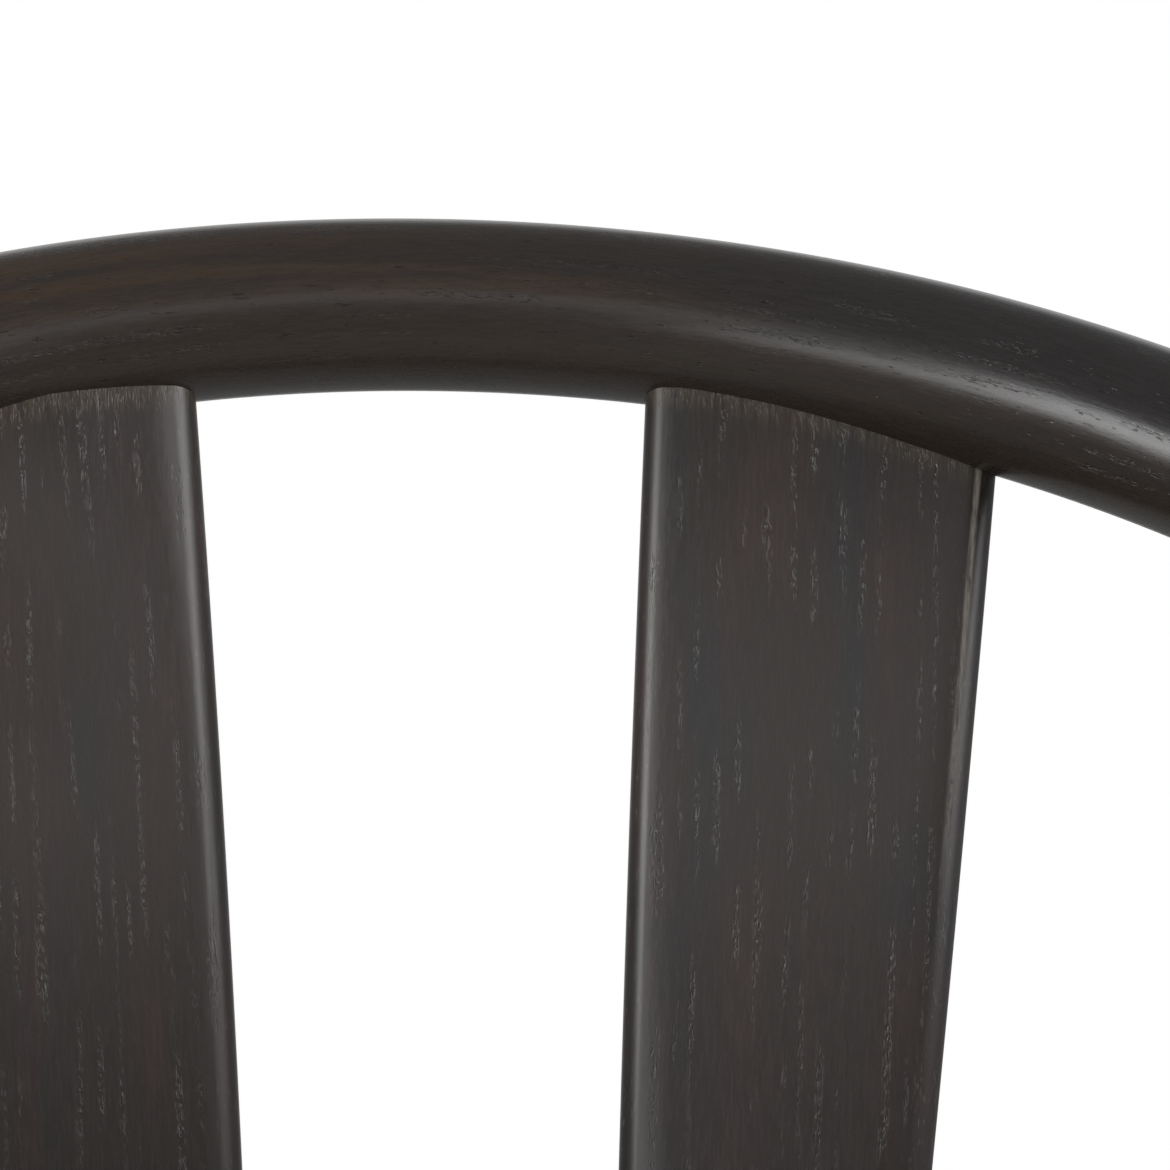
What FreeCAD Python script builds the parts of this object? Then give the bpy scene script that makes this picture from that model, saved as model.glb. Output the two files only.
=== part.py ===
import FreeCAD, Part
import math
import os

# Round-backed dining chair: a bent hoop rail on two slats and two rear legs, and an upholstered seat.
# Millimetres and degrees. +Z is up, the sitter faces -Y, the origin is on the floor under the middle.

# Overall size
overall_height = 802.0
overall_depth = 525.0

# Hoop rail: a round bar bent to an arc, tilted down towards its two arms
rail_diameter = 35.0
hoop_radius = 225.0
hoop_tilt = 24.4
hoop_half_angle = 78.0
arm_length = 110.0
arm_end_round = 12.0

# Back slats, measured where they meet the rail and where they meet the seat frame
slat_place = 81.9
slat_thickness = 15.0
slat_top_width = 72.4
slat_bottom_width = 43.5
slat_edge_bow = 1.3
slat_edge_round = 6.0
slat_yaw = 11.05
slat_lean = 2.05
slat_recline = 17.3
slat_bend_radius = 2500.0
slat_tenon_thickness = 7.0
slat_tenon_shoulder = 9.0
slat_rail_tenon = 19.0
slat_seat_tenon = 25.0

# Legs
leg_seat_diameter = 38.0
leg_foot_diameter = 24.0
leg_swell = 2.0
leg_collar = 14.0
rear_leg_top_diameter = 27.0
rear_leg_hoop_angle = 70.0
leg_tenon_diameter = 18.0
leg_tenon_past_axis = 3.0
rear_leg_spread = 216.0
front_leg_spread = 214.0
front_leg_setback = 31.0
front_leg_splay_out = 10.0
front_leg_splay_ahead = 12.0

# Seat frame
seat_frame_top = 425.0
seat_rail_height = 60.0
seat_rail_thickness = 24.0
rear_rail_thickness = 32.0
rail_edge_round = 3.0
dowel_diameter = 8.0
dowel_length = 38.0
dowel_in_leg = 17.0
cross_dowel_spacing = 20.0
side_dowel_spacing = 40.0

# Corner blocks, cleat and their screws
block_reach = 112.0
block_height = 40.0
block_screw_spacing = 84.0
block_screw_height = 10.0
cleat_section = 22.0
cleat_end_gap = 2.0
cleat_screw_spacing = 100.0
screw_diameter = 4.0
screw_length = 32.0
screw_head_diameter = 8.0
screw_head_height = 2.8

# Seat pad
pad_height = 50.0
pad_crown = 7.0
pad_shoulder = 14.0
pad_draw = 16.0
pad_overhang = 8.0
pad_front_corner = 60.0
pad_back_gap = 3.0
pad_leg_gap = 4.0
board_thickness = 12.0
cover_thickness = 2.0
cover_lip = 25.0
dust_cover_thickness = 0.8

# Seat bolts, with washers below the corner blocks and tee nuts in the board
bolt_inset = 46.0
bolt_diameter = 6.0
bolt_head_diameter = 10.0
bolt_head_height = 4.0
washer_diameter = 16.0
washer_thickness = 1.5
tee_barrel_diameter = 8.0
tee_barrel_length = 9.0
tee_flange_diameter = 16.0
tee_flange_thickness = 1.2

# Foot glides
glide_diameter = 19.0
glide_height = 4.0
glide_edge_round = 1.5
glide_nail_diameter = 3.0
glide_nail_length = 16.0

# Clearances
joint_gap = 0.15
shoulder_gap = 0.1
soft_gap = 0.2
bolt_gap = 0.3

Vector = FreeCAD.Vector
ORIGIN = Vector(0, 0, 0)
ACROSS = Vector(1, 0, 0)
UP = Vector(0, 0, 1)

rail_radius = rail_diameter / 2
hoop_back = Vector(0, overall_depth / 2 - rail_radius, overall_height - rail_radius)
seat_front = -overall_depth / 2
seat_frame_middle = seat_frame_top - seat_rail_height / 2


def mirrored(shape):
    """The same shape on the chair's other side."""
    return shape.mirror(ORIGIN, ACROSS)


def both_sides(shapes):
    """Shapes of the right half together with their left-hand twins."""
    return shapes + [mirrored(shape) for shape in shapes]


def largest(shape):
    """The main solid of a cut shape."""
    return max(shape.Solids, key=lambda solid: solid.Volume)


def cylinder(diameter, start, end):
    """Round bar between two points."""
    return Part.makeCylinder(diameter / 2, (end - start).Length, start, end - start)


def revolved(edges):
    """Solid turned about Z from the edges of a half section in the XZ plane."""
    return Part.Face(Part.Wire(edges)).revolve(ORIGIN, UP, 360)


def chain(points):
    """Straight edges through (radius, height) points of a half section."""
    places = [Vector(radius, 0, height) for radius, height in points]
    return [Part.makeLine(a, b) for a, b in zip(places, places[1:])]


def rounded_outline(corners, radii):
    """Closed wire through corner points, with an arc at each corner."""
    ends = []
    for index, corner in enumerate(corners):
        to_last = (corners[index - 1] - corner).normalize()
        to_next = (corners[(index + 1) % len(corners)] - corner).normalize()
        half = to_last.getAngle(to_next) / 2
        reach = radii[index] / math.tan(half)
        inwards = (to_last + to_next).normalize()
        middle = corner + inwards * (radii[index] / math.sin(half) - radii[index])
        ends.append((corner + to_last * reach, middle, corner + to_next * reach))
    edges = []
    for index, (start, middle, end) in enumerate(ends):
        edges.append(Part.Arc(start, middle, end).toShape())
        edges.append(Part.makeLine(end, ends[(index + 1) % len(ends)][0]))
    return Part.Wire(edges)


def hoop_point(angle):
    """Point on the hoop's centre line, at an angle from the middle of the back."""
    side = hoop_radius * math.sin(math.radians(angle))
    ahead = hoop_radius * (1 - math.cos(math.radians(angle)))
    tilt = math.radians(hoop_tilt)
    return hoop_back + Vector(side, -ahead * math.cos(tilt), -ahead * math.sin(tilt))


def arm_blank(grow):
    """Straight end of the rail, with its rim rounded, standing on the XY plane."""
    radius = rail_radius + grow
    rim = arm_end_round * (1 - math.sqrt(0.5))
    start = Vector(radius, 0, arm_length - arm_end_round)
    middle = Vector(radius - rim, 0, arm_length - rim)
    end = Vector(radius - arm_end_round, 0, arm_length)
    section = chain([(0, 0), (radius, 0), (radius, start.z)])
    section.append(Part.Arc(start, middle, end).toShape())
    section += chain([(end.x, arm_length), (0, arm_length), (0, 0)])
    return revolved(section)


def hoop_blank(grow=0.0):
    """The bent bar before its mortises are cut, made thicker by an amount all round."""
    turn = math.radians(hoop_half_angle)
    start = Vector(hoop_radius * math.sin(turn), hoop_radius * math.cos(turn), 0)
    ahead = Vector(math.cos(turn), -math.sin(turn), 0)
    circle = Part.Face(Part.Wire(Part.makeCircle(rail_radius + grow, start, ahead)))
    bar = circle.revolve(ORIGIN, UP, 2 * hoop_half_angle)
    arm = arm_blank(grow)
    arm.Placement = FreeCAD.Placement(start, FreeCAD.Rotation(UP, ahead))
    bar = bar.fuse(both_sides([arm])).removeSplitter()
    bar.rotate(ORIGIN, ACROSS, hoop_tilt)
    tilt = math.radians(hoop_tilt)
    bar.translate(hoop_back - Vector(0, math.cos(tilt), math.sin(tilt)) * hoop_radius)
    return bar


slat_root = hoop_point(math.degrees(math.asin(slat_place / hoop_radius)))
slat_height = slat_root.z - seat_frame_top


def slat_ahead(height):
    """How far the slat's bent middle lies in front of its root, at a height above the root."""
    recline = math.radians(slat_recline)
    angle = math.asin(math.sin(recline) + height / slat_bend_radius)
    return slat_bend_radius * (math.cos(angle) - math.cos(recline))


def slat_middle(height):
    """The slat's centre line at a height above its root, in the slat's own frame."""
    return Vector(height * math.tan(math.radians(slat_lean)), -slat_ahead(height), height)


def place_slat(shape):
    """Turns a shape from the slat's own frame into the right-hand slat's place."""
    shape.rotate(ORIGIN, UP, -slat_yaw)
    shape.translate(slat_root)
    return shape


def slat_sheet(thickness, bottom, top):
    """Bent sheet of the slat's side view, as wide as the slat can be."""
    corners = []
    for height in (bottom, (bottom + top) / 2, top):
        recline = math.radians(slat_recline)
        angle = math.asin(math.sin(recline) + height / slat_bend_radius)
        normal = Vector(0, -math.cos(angle), math.sin(angle))
        centre = Vector(0, -slat_ahead(height), height)
        corners.append((centre + normal * (thickness / 2), centre - normal * (thickness / 2)))
    front = Part.Arc(*[pair[0] for pair in corners]).toShape()
    back = Part.Arc(*[pair[1] for pair in corners]).toShape()
    low = Part.makeLine(corners[0][0], corners[0][1])
    high = Part.makeLine(corners[2][0], corners[2][1])
    face = Part.Face(Part.Wire(Part.__sortEdges__([front, high, back, low])))
    sheet = face.extrude(ACROSS * (2 * slat_top_width))
    sheet.translate(ACROSS * -slat_top_width)
    return sheet


def slat_outline(inset, bottom, top):
    """Tapered front view of the slat, drawn in by an inset, as a thick prism."""
    def edge_point(side, height):
        share = -height / slat_height
        half = (slat_top_width * (1 - share) + slat_bottom_width * share) / 2
        half += slat_edge_bow * 4 * share * (1 - share)
        return Vector(slat_middle(height).x + side * (half - inset), 0, height)

    middle = (bottom + top) / 2
    left = Part.Arc(*[edge_point(-1, height) for height in (bottom, middle, top)]).toShape()
    right = Part.Arc(*[edge_point(1, height) for height in (bottom, middle, top)]).toShape()
    low = Part.makeLine(edge_point(-1, bottom), edge_point(1, bottom))
    high = Part.makeLine(edge_point(-1, top), edge_point(1, top))
    face = Part.Face(Part.Wire(Part.__sortEdges__([low, right, high, left])))
    prism = face.extrude(Vector(0, 4 * slat_height, 0))
    prism.translate(Vector(0, -2 * slat_height, 0))
    return prism


def slat_tenons(grow=0.0):
    """Thin core of the slat, whose two ends are the tenons in the rail and in the seat frame."""
    bottom = -slat_height - slat_seat_tenon - grow
    top = slat_rail_tenon - rail_radius + grow
    core = slat_sheet(slat_tenon_thickness + 2 * grow, bottom, top)
    outline = slat_outline(slat_tenon_shoulder - grow, bottom - grow, top + grow)
    return place_slat(core.common(outline))


def slat_body():
    """Full-thickness slat from the seat frame up into the rail, with its long edges rounded."""
    sheet = slat_sheet(slat_thickness, -slat_height - slat_thickness, slat_thickness)
    body = sheet.common(slat_outline(0, -slat_height, 0))
    long_edges = [edge for edge in body.Edges if edge.BoundBox.ZLength > slat_height / 2]
    return place_slat(body.makeFillet(slat_edge_round, long_edges))


def make_slat():
    """Right-hand slat, coped to the underside of the rail."""
    body = largest(slat_body().cut(hoop_blank(shoulder_gap)))
    return body.fuse(slat_tenons()).removeSplitter()


# Leg centre lines: a rear leg runs through a corner of the seat frame to its socket in the rail
slat_foot = place_slat(Part.Vertex(slat_middle(-slat_height))).Point
rear_corner = Vector(rear_leg_spread, slat_foot.y, seat_frame_middle)
rear_leg_head = hoop_point(rear_leg_hoop_angle)
rear_leg_line = (rear_leg_head - rear_corner).normalize()
rear_leg_foot = rear_corner - rear_leg_line * (rear_corner.z / rear_leg_line.z)
front_corner = Vector(front_leg_spread, seat_front + front_leg_setback, seat_frame_middle)
front_leg_head = Vector(front_corner.x, front_corner.y, seat_frame_top)
front_leg_foot = Vector(front_corner.x + front_leg_splay_out, front_corner.y - front_leg_splay_ahead, 0)


def leg_blank(foot, head, head_diameter, grow=0.0):
    """Turned leg on the line from foot to head, thickest where the seat frame meets it."""
    length = (head - foot).Length
    slope = length / head.z
    low = (seat_frame_top - seat_rail_height - leg_collar) * slope
    high = (seat_frame_top + leg_collar) * slope
    below = -leg_foot_diameter
    foot_radius = leg_foot_diameter / 2 + grow
    seat_radius = leg_seat_diameter / 2 + grow
    head_radius = head_diameter / 2 + grow

    def taper(start_radius, start, end_radius, end):
        middle = Vector((start_radius + end_radius) / 2 + leg_swell, 0, (start + end) / 2)
        arc = Part.Arc(Vector(start_radius, 0, start), middle, Vector(end_radius, 0, end))
        return arc.toShape()

    section = chain([(0, length), (0, below), (foot_radius, below), (foot_radius, 0)])
    section.append(taper(foot_radius, 0, seat_radius, low))
    section += chain([(seat_radius, low), (seat_radius, high)])
    section.append(taper(seat_radius, high, head_radius, length))
    section += chain([(head_radius, length), (0, length)])
    leg = revolved(section)
    leg.Placement = FreeCAD.Placement(foot, FreeCAD.Rotation(UP, head - foot))
    return leg


def rear_leg_blank(grow=0.0):
    return leg_blank(rear_leg_foot, rear_leg_head, rear_leg_top_diameter, grow)


def front_leg_blank(grow=0.0):
    """The front leg runs on past its collar, so that its top can be cut level with the seat frame."""
    run_out = (front_leg_head - front_leg_foot).normalize() * (2 * leg_collar)
    return leg_blank(front_leg_foot, front_leg_head + run_out, leg_seat_diameter, grow)


def slab(bottom, top):
    """Level block wider than the chair, between two heights."""
    reach = overall_height
    return Part.makeBox(2 * reach, 2 * reach, top - bottom, Vector(-reach, -reach, bottom))


def leg_tenon(grow=0.0):
    """Round tenon of the right rear leg, in its socket past the middle of the rail."""
    start = rear_leg_head - rear_leg_line * (2 * rail_diameter)
    end = rear_leg_head + rear_leg_line * (leg_tenon_past_axis + grow)
    return cylinder(leg_tenon_diameter + 2 * grow, start, end)


def make_crest_rail():
    """Bent rail with two slat mortises and two leg sockets."""
    cuts = [slat_tenons(joint_gap), leg_tenon(joint_gap)]
    return hoop_blank().cut(both_sides(cuts))


def cross_rail_ends(corner):
    """Ends of a rail across the chair, just inside the side rails at its two corners."""
    half = corner.x - seat_rail_thickness / 2 - shoulder_gap
    return Vector(-half, corner.y, corner.z), Vector(half, corner.y, corner.z)


rear_rail_ends = cross_rail_ends(rear_corner)
front_rail_ends = cross_rail_ends(front_corner)
side_rail_ends = (front_corner, rear_corner)


def rail_blank(ends, thickness, grow=0.0):
    """Board with eased long edges from one end to the other."""
    start, end = ends
    length = (end - start).Length
    width = thickness + 2 * grow
    corner = Vector(0, -width / 2, -seat_rail_height / 2)
    board = Part.makeBox(length, width, seat_rail_height, corner)
    long_edges = [edge for edge in board.Edges if edge.BoundBox.XLength > length / 2]
    board = board.makeFillet(rail_edge_round, long_edges)
    board.Placement = FreeCAD.Placement(start, FreeCAD.Rotation(ACROSS, end - start))
    return board


def joint_dowels(corner, towards, spacing, grow=0.0):
    """Pair of dowels, one above the other, from inside a leg along a seat rail."""
    along = (towards - corner).normalize()
    start = leg_seat_diameter / 2 - dowel_in_leg - grow
    end = start + dowel_length + 2 * grow
    dowels = []
    for height in (-spacing / 2, spacing / 2):
        level = corner + UP * height
        dowels.append(cylinder(dowel_diameter + 2 * grow, level + along * start, level + along * end))
    return dowels


def right_dowels(grow=0.0):
    """The eight dowels of the chair's right half."""
    dowels = joint_dowels(rear_corner, rear_rail_ends[0], cross_dowel_spacing, grow)
    dowels += joint_dowels(front_corner, front_rail_ends[0], cross_dowel_spacing, grow)
    dowels += joint_dowels(rear_corner, front_corner, side_dowel_spacing, grow)
    dowels += joint_dowels(front_corner, rear_corner, side_dowel_spacing, grow)
    return dowels


# Corner blocks: each is named by its corner of the frame and the way to the chair's inside
inwards_front = Vector(-1, 1, 0)
inwards_rear = Vector(-1, -1, 0)


def block_screws(corner, inwards, grow=0.0):
    """Two screws through the long face of a corner block, one into each seat rail."""
    along = Vector(inwards.x, -inwards.y, 0).normalize()
    face = corner + inwards * (block_reach / 2)
    face.z = seat_frame_top - block_height + block_screw_height
    into = Vector(-inwards.x, -inwards.y, 0).normalize()
    return [wood_screw(face + along * place, into, grow)
            for place in (-block_screw_spacing / 2, block_screw_spacing / 2)]


def cleat_screws(grow=0.0):
    """Row of screws through the cleat into the rear seat rail."""
    face = rear_corner.y - rear_rail_thickness / 2 - shoulder_gap - cleat_section
    level = seat_frame_top - cleat_section / 2
    return [wood_screw(Vector(place, face, level), Vector(0, 1, 0), grow)
            for place in (-cleat_screw_spacing, 0, cleat_screw_spacing)]


def wood_screw(seat, into, grow=0.0):
    """Pan-head screw whose head sits on a face, with its shank straight into the wood."""
    shank = cylinder(screw_diameter + 2 * grow, seat, seat + into * (screw_length + grow))
    head = cylinder(screw_head_diameter, seat - into * screw_head_height, seat)
    rim = [edge for edge in head.Edges if edge.Curve.TypeId == "Part::GeomCircle"]
    outer = max(rim, key=lambda edge: (edge.CenterOfMass - seat).Length)
    head = head.makeFillet(screw_head_height / 2, [outer])
    return head.fuse(shank).removeSplitter()


def seat_bolt_place(corner, inwards):
    """Point on the underside of a corner block where its bolt goes up."""
    place = corner + inwards * bolt_inset
    place.z = seat_frame_top - block_height
    return place


def make_block(corner, inwards, leg, cross_rail):
    """Triangular corner block, cut to fit the two seat rails and the round leg."""
    base = Vector(corner.x, corner.y, seat_frame_top - block_height)
    points = [base, base + Vector(inwards.x * block_reach, 0, 0), base + Vector(0, inwards.y * block_reach, 0)]
    block = Part.Face(Part.makePolygon(points + [base])).extrude(UP * block_height)
    side_rail = rail_blank(side_rail_ends, seat_rail_thickness, shoulder_gap)
    block = largest(block.cut([side_rail, cross_rail, leg]))
    bolt = seat_bolt_place(corner, inwards)
    hole = cylinder(bolt_diameter + 2 * bolt_gap, bolt, bolt + UP * block_height)
    return block.cut([hole] + block_screws(corner, inwards, joint_gap))


def make_cleat():
    """Batten along the rear seat rail, level with its top."""
    front = rear_corner.y - rear_rail_thickness / 2 - shoulder_gap - cleat_section
    half = rear_corner.x - block_reach + rear_rail_thickness / 2 - cleat_end_gap
    corner = Vector(-half, front, seat_frame_top - cleat_section)
    batten = Part.makeBox(2 * half, cleat_section, cleat_section, corner)
    return batten.cut(cleat_screws(joint_gap))


# Seat pad outline: its back clears the slats and its back corners clear the rear legs
slat_reach_ahead = (slat_bottom_width * math.sin(math.radians(slat_yaw)) + slat_thickness) / 2
pad_back = slat_foot.y - slat_reach_ahead - pad_back_gap
pad_half_front = front_leg_spread + leg_seat_diameter / 2 + pad_overhang
pad_half_back = rear_leg_spread + leg_seat_diameter / 2
pad_base = seat_frame_top
board_bottom = pad_base + cover_thickness
board_top = board_bottom + board_thickness


def back_corner_radius():
    """Radius that keeps the pad's back corners a set gap away from the rear legs."""
    level = pad_base + pad_height / 2
    leg = rear_corner + rear_leg_line * ((level - rear_corner.z) / rear_leg_line.z)
    side = leg.x - pad_half_back
    back = leg.y - pad_back
    keep = leg_seat_diameter / 2 + pad_leg_gap
    half = keep - side - back
    return half + math.sqrt(half ** 2 - side ** 2 - back ** 2 + keep ** 2)


def pad_outline(inset, height):
    """Outline of the pad, drawn in by an inset, at a height."""
    half_back = pad_half_back - inset
    half_front = pad_half_front - inset
    back = pad_back - inset
    front = seat_front + inset
    corners = [Vector(-half_back, back, height), Vector(half_back, back, height),
               Vector(half_front, front, height), Vector(-half_front, front, height)]
    shrink = 1 - inset / pad_half_front
    back_radius = back_corner_radius() * shrink
    front_radius = pad_front_corner * shrink
    return rounded_outline(corners, [back_radius, back_radius, front_radius, front_radius])


def pad_prism(inset, bottom, top):
    """Flat layer with the pad's outline."""
    return Part.Face(pad_outline(inset, bottom)).extrude(UP * (top - bottom))


def pad_form(skin):
    """Pad with a domed top and rounded rims, drawn in everywhere by the thickness of a skin."""
    bottom = pad_base + skin
    top = pad_base + pad_height
    dome_radius = (pad_half_front ** 2 + pad_crown ** 2) / (2 * pad_crown)
    dome_centre = Vector(0, (pad_back + seat_front) / 2, top - dome_radius)
    form = pad_prism(skin, bottom, top).common(Part.makeSphere(dome_radius - skin, dome_centre))
    top_rim = [edge for edge in form.Edges if edge.BoundBox.ZMin > top - pad_height / 2]
    form = form.makeFillet(pad_shoulder - skin, top_rim)
    low_rim = [edge for edge in form.Edges if edge.BoundBox.ZMax < bottom + soft_gap]
    return form.makeFillet(pad_draw - skin, low_rim)


def pad_bolts():
    """Foot of each of the four seat bolts."""
    right = [seat_bolt_place(front_corner, inwards_front), seat_bolt_place(rear_corner, inwards_rear)]
    return right + [Vector(-place.x, place.y, place.z) for place in right]


def at_height(place, height):
    return Vector(place.x, place.y, height)


def bolt_holes():
    """Holes for the seat bolts in what lies between the corner blocks and the board."""
    width = bolt_diameter + 2 * bolt_gap
    return [cylinder(width, at_height(place, pad_base), at_height(place, board_bottom)) for place in pad_bolts()]


def make_seat_cover():
    """Fabric skin over foam and board, turned under the board as a lip."""
    opening = pad_prism(pad_draw + cover_lip, pad_base - cover_thickness, board_bottom + cover_thickness)
    return pad_form(0).cut([pad_form(cover_thickness), opening] + bolt_holes())


def make_seat_foam():
    """Crowned foam between the board and the cover."""
    return pad_form(cover_thickness + soft_gap).cut(slab(pad_base - cover_thickness, board_top))


def make_seat_board():
    """Plywood board, bored and recessed for the tee nuts."""
    board = pad_prism(pad_draw + cover_thickness + soft_gap, board_bottom, board_top)
    holes = []
    for place in pad_bolts():
        recess = at_height(place, board_top - tee_flange_thickness - joint_gap)
        top = at_height(place, board_top)
        holes.append(cylinder(tee_flange_diameter + 2 * joint_gap, recess, top))
        holes.append(cylinder(tee_barrel_diameter + 2 * joint_gap, at_height(place, board_bottom), top))
    return board.cut(holes)


def make_dust_cover():
    """Thin sheet inside the cover's lip, against the underside of the board."""
    sheet = pad_prism(pad_draw + cover_lip + soft_gap, board_bottom - dust_cover_thickness, board_bottom)
    return sheet.cut(bolt_holes())


def make_tee_nuts():
    """Nut in each board hole: a barrel with a flange let into the top of the board."""
    nuts = []
    for place in pad_bolts():
        flange = at_height(place, board_top - tee_flange_thickness)
        top = at_height(place, board_top)
        foot = at_height(place, board_top - tee_barrel_length)
        nut = cylinder(tee_barrel_diameter, foot, top).fuse(cylinder(tee_flange_diameter, flange, top))
        nuts.append(nut.cut(cylinder(bolt_diameter + 2 * joint_gap, foot, top)))
    return Part.makeCompound(nuts)


def make_washers():
    """Washer under each corner block."""
    washers = []
    for place in pad_bolts():
        foot = place - UP * washer_thickness
        hole = cylinder(bolt_diameter + 2 * bolt_gap, foot, place)
        washers.append(cylinder(washer_diameter, foot, place).cut(hole))
    return Part.makeCompound(washers)


def make_seat_bolts():
    """Bolt from under each washer up into its tee nut."""
    bolts = []
    for place in pad_bolts():
        seat = place - UP * washer_thickness
        shank = cylinder(bolt_diameter, seat, at_height(place, board_top - tee_flange_thickness))
        head = cylinder(bolt_head_diameter, seat - UP * bolt_head_height, seat)
        bolts.append(shank.fuse(head).removeSplitter())
    return Part.makeCompound(bolts)


def glide_place(foot, head):
    """Middle of a leg's level foot, where its glide is nailed on."""
    along = (head - foot).normalize()
    return foot + along * (glide_height / along.z)


def glide_nail(place, grow=0.0):
    top = place + UP * (glide_nail_length + grow)
    return cylinder(glide_nail_diameter + 2 * grow, place, top)


def make_glide(place):
    """Flat glide with a rounded lower rim and a nail."""
    disc = cylinder(glide_diameter, Vector(place.x, place.y, 0), place)
    rim = [edge for edge in disc.Edges if edge.BoundBox.ZMax < glide_height / 2]
    disc = disc.makeFillet(glide_edge_round, rim)
    return disc.fuse(glide_nail(place)).removeSplitter()


front_glide = glide_place(front_leg_foot, front_leg_head)
rear_glide = glide_place(rear_leg_foot, rear_leg_head)


def finish_leg(leg, glide):
    """Cuts a leg level at its foot and bores it for its glide and its dowels."""
    below = slab(-overall_height, glide_height)
    return leg.cut([below, glide_nail(glide, joint_gap)] + right_dowels(joint_gap))


def make_rear_leg():
    """Right rear leg, coped to the rail, with a round tenon."""
    leg = largest(rear_leg_blank().cut(hoop_blank(shoulder_gap)))
    return finish_leg(leg.fuse(leg_tenon()).removeSplitter(), rear_glide)


def make_front_leg():
    """Right front leg, level with the top of the seat frame."""
    above = slab(seat_frame_top, overall_height)
    return finish_leg(front_leg_blank().cut(above), front_glide)


def make_rear_seat_rail():
    """Thick rear rail with the slats' mortises in its top."""
    cuts = [rear_leg_blank(shoulder_gap), slat_tenons(joint_gap)] + right_dowels(joint_gap)
    rail = rail_blank(rear_rail_ends, rear_rail_thickness).cut(both_sides(cuts))
    return largest(rail.cut(cleat_screws(joint_gap) + both_sides(right_block_screws(joint_gap))))


def make_front_seat_rail():
    cuts = [front_leg_blank(shoulder_gap)] + right_dowels(joint_gap) + right_block_screws(joint_gap)
    return largest(rail_blank(front_rail_ends, seat_rail_thickness).cut(both_sides(cuts)))


def make_side_seat_rail():
    """Right seat rail, from the front leg to the rear leg."""
    cuts = [front_leg_blank(shoulder_gap), rear_leg_blank(shoulder_gap)]
    cuts += right_dowels(joint_gap) + right_block_screws(joint_gap)
    return largest(rail_blank(side_rail_ends, seat_rail_thickness).cut(cuts))


def right_block_screws(grow=0.0):
    return block_screws(front_corner, inwards_front, grow) + block_screws(rear_corner, inwards_rear, grow)


def make_front_block():
    cross_rail = rail_blank(front_rail_ends, seat_rail_thickness, shoulder_gap)
    return make_block(front_corner, inwards_front, front_leg_blank(shoulder_gap), cross_rail)


def make_rear_block():
    cross_rail = rail_blank(rear_rail_ends, rear_rail_thickness, shoulder_gap)
    return make_block(rear_corner, inwards_rear, rear_leg_blank(shoulder_gap), cross_rail)


def make_nodes():
    """Every piece of the chair by its name."""
    slat = make_slat()
    rear_leg = make_rear_leg()
    front_leg = make_front_leg()
    side_rail = make_side_seat_rail()
    front_block = make_front_block()
    rear_block = make_rear_block()
    screws = both_sides(right_block_screws()) + cleat_screws()
    glides = both_sides([make_glide(front_glide), make_glide(rear_glide)])
    return {
        "crest_rail": make_crest_rail(),
        "right_slat": slat,
        "left_slat": mirrored(slat),
        "rear_leg_right": rear_leg,
        "rear_leg_left": mirrored(rear_leg),
        "front_leg_right": front_leg,
        "front_leg_left": mirrored(front_leg),
        "front_seat_rail": make_front_seat_rail(),
        "rear_seat_rail": make_rear_seat_rail(),
        "right_seat_rail": side_rail,
        "left_seat_rail": mirrored(side_rail),
        "frame_dowels": Part.makeCompound(both_sides(right_dowels())),
        "front_right_block": front_block,
        "front_left_block": mirrored(front_block),
        "rear_right_block": rear_block,
        "rear_left_block": mirrored(rear_block),
        "rear_cleat": make_cleat(),
        "wood_screws": Part.makeCompound(screws),
        "seat_board": make_seat_board(),
        "seat_foam": make_seat_foam(),
        "seat_cover": make_seat_cover(),
        "dust_cover": make_dust_cover(),
        "seat_bolts": make_seat_bolts(),
        "bolt_washers": make_washers(),
        "tee_nuts": make_tee_nuts(),
        "foot_glides": Part.makeCompound(glides),
    }


os.makedirs("parts", exist_ok=True)
for name, shape in make_nodes().items():
    shape.exportStep("parts/" + name + ".step")
    solids = len(shape.Solids)
    print(name, "solids", solids, "volume", round(shape.Volume / 1000, 1), "cm3", "valid", shape.isValid())
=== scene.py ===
import bmesh
import bpy
import math
from mathutils import Matrix, Vector
from mathutils.kdtree import KDTree
from types import SimpleNamespace


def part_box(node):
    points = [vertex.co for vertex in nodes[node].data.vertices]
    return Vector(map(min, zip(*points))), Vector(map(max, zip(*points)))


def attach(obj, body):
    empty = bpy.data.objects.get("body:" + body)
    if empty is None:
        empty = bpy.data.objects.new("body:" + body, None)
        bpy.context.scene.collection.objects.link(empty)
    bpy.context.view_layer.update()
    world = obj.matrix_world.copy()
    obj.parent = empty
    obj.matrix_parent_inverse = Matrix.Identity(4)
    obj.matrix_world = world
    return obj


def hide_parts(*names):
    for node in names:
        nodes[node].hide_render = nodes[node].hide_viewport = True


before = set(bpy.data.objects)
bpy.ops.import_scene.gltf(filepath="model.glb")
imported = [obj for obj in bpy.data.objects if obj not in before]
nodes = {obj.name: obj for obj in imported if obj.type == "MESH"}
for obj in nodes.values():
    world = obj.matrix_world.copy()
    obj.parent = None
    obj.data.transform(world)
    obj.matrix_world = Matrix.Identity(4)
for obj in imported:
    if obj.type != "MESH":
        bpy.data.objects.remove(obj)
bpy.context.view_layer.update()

# Sizes of the chair's pieces, in metres and radians
RAIL_RADIUS = 0.0175
HOOP_RADIUS = 0.225
HOOP_TILT = math.radians(24.4)
HOOP_HALF_ANGLE = math.radians(78.0)
ARM_LENGTH = 0.110
ARM_END_ROUND = 0.012
SLAT_PLACE = 0.0819
SLAT_THICKNESS = 0.015
SLAT_TOP_WIDTH = 0.0724
SLAT_BOTTOM_WIDTH = 0.0435
SLAT_EDGE_BOW = 0.0013
SLAT_YAW = math.radians(11.05)
SLAT_LEAN = math.radians(2.05)
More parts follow.
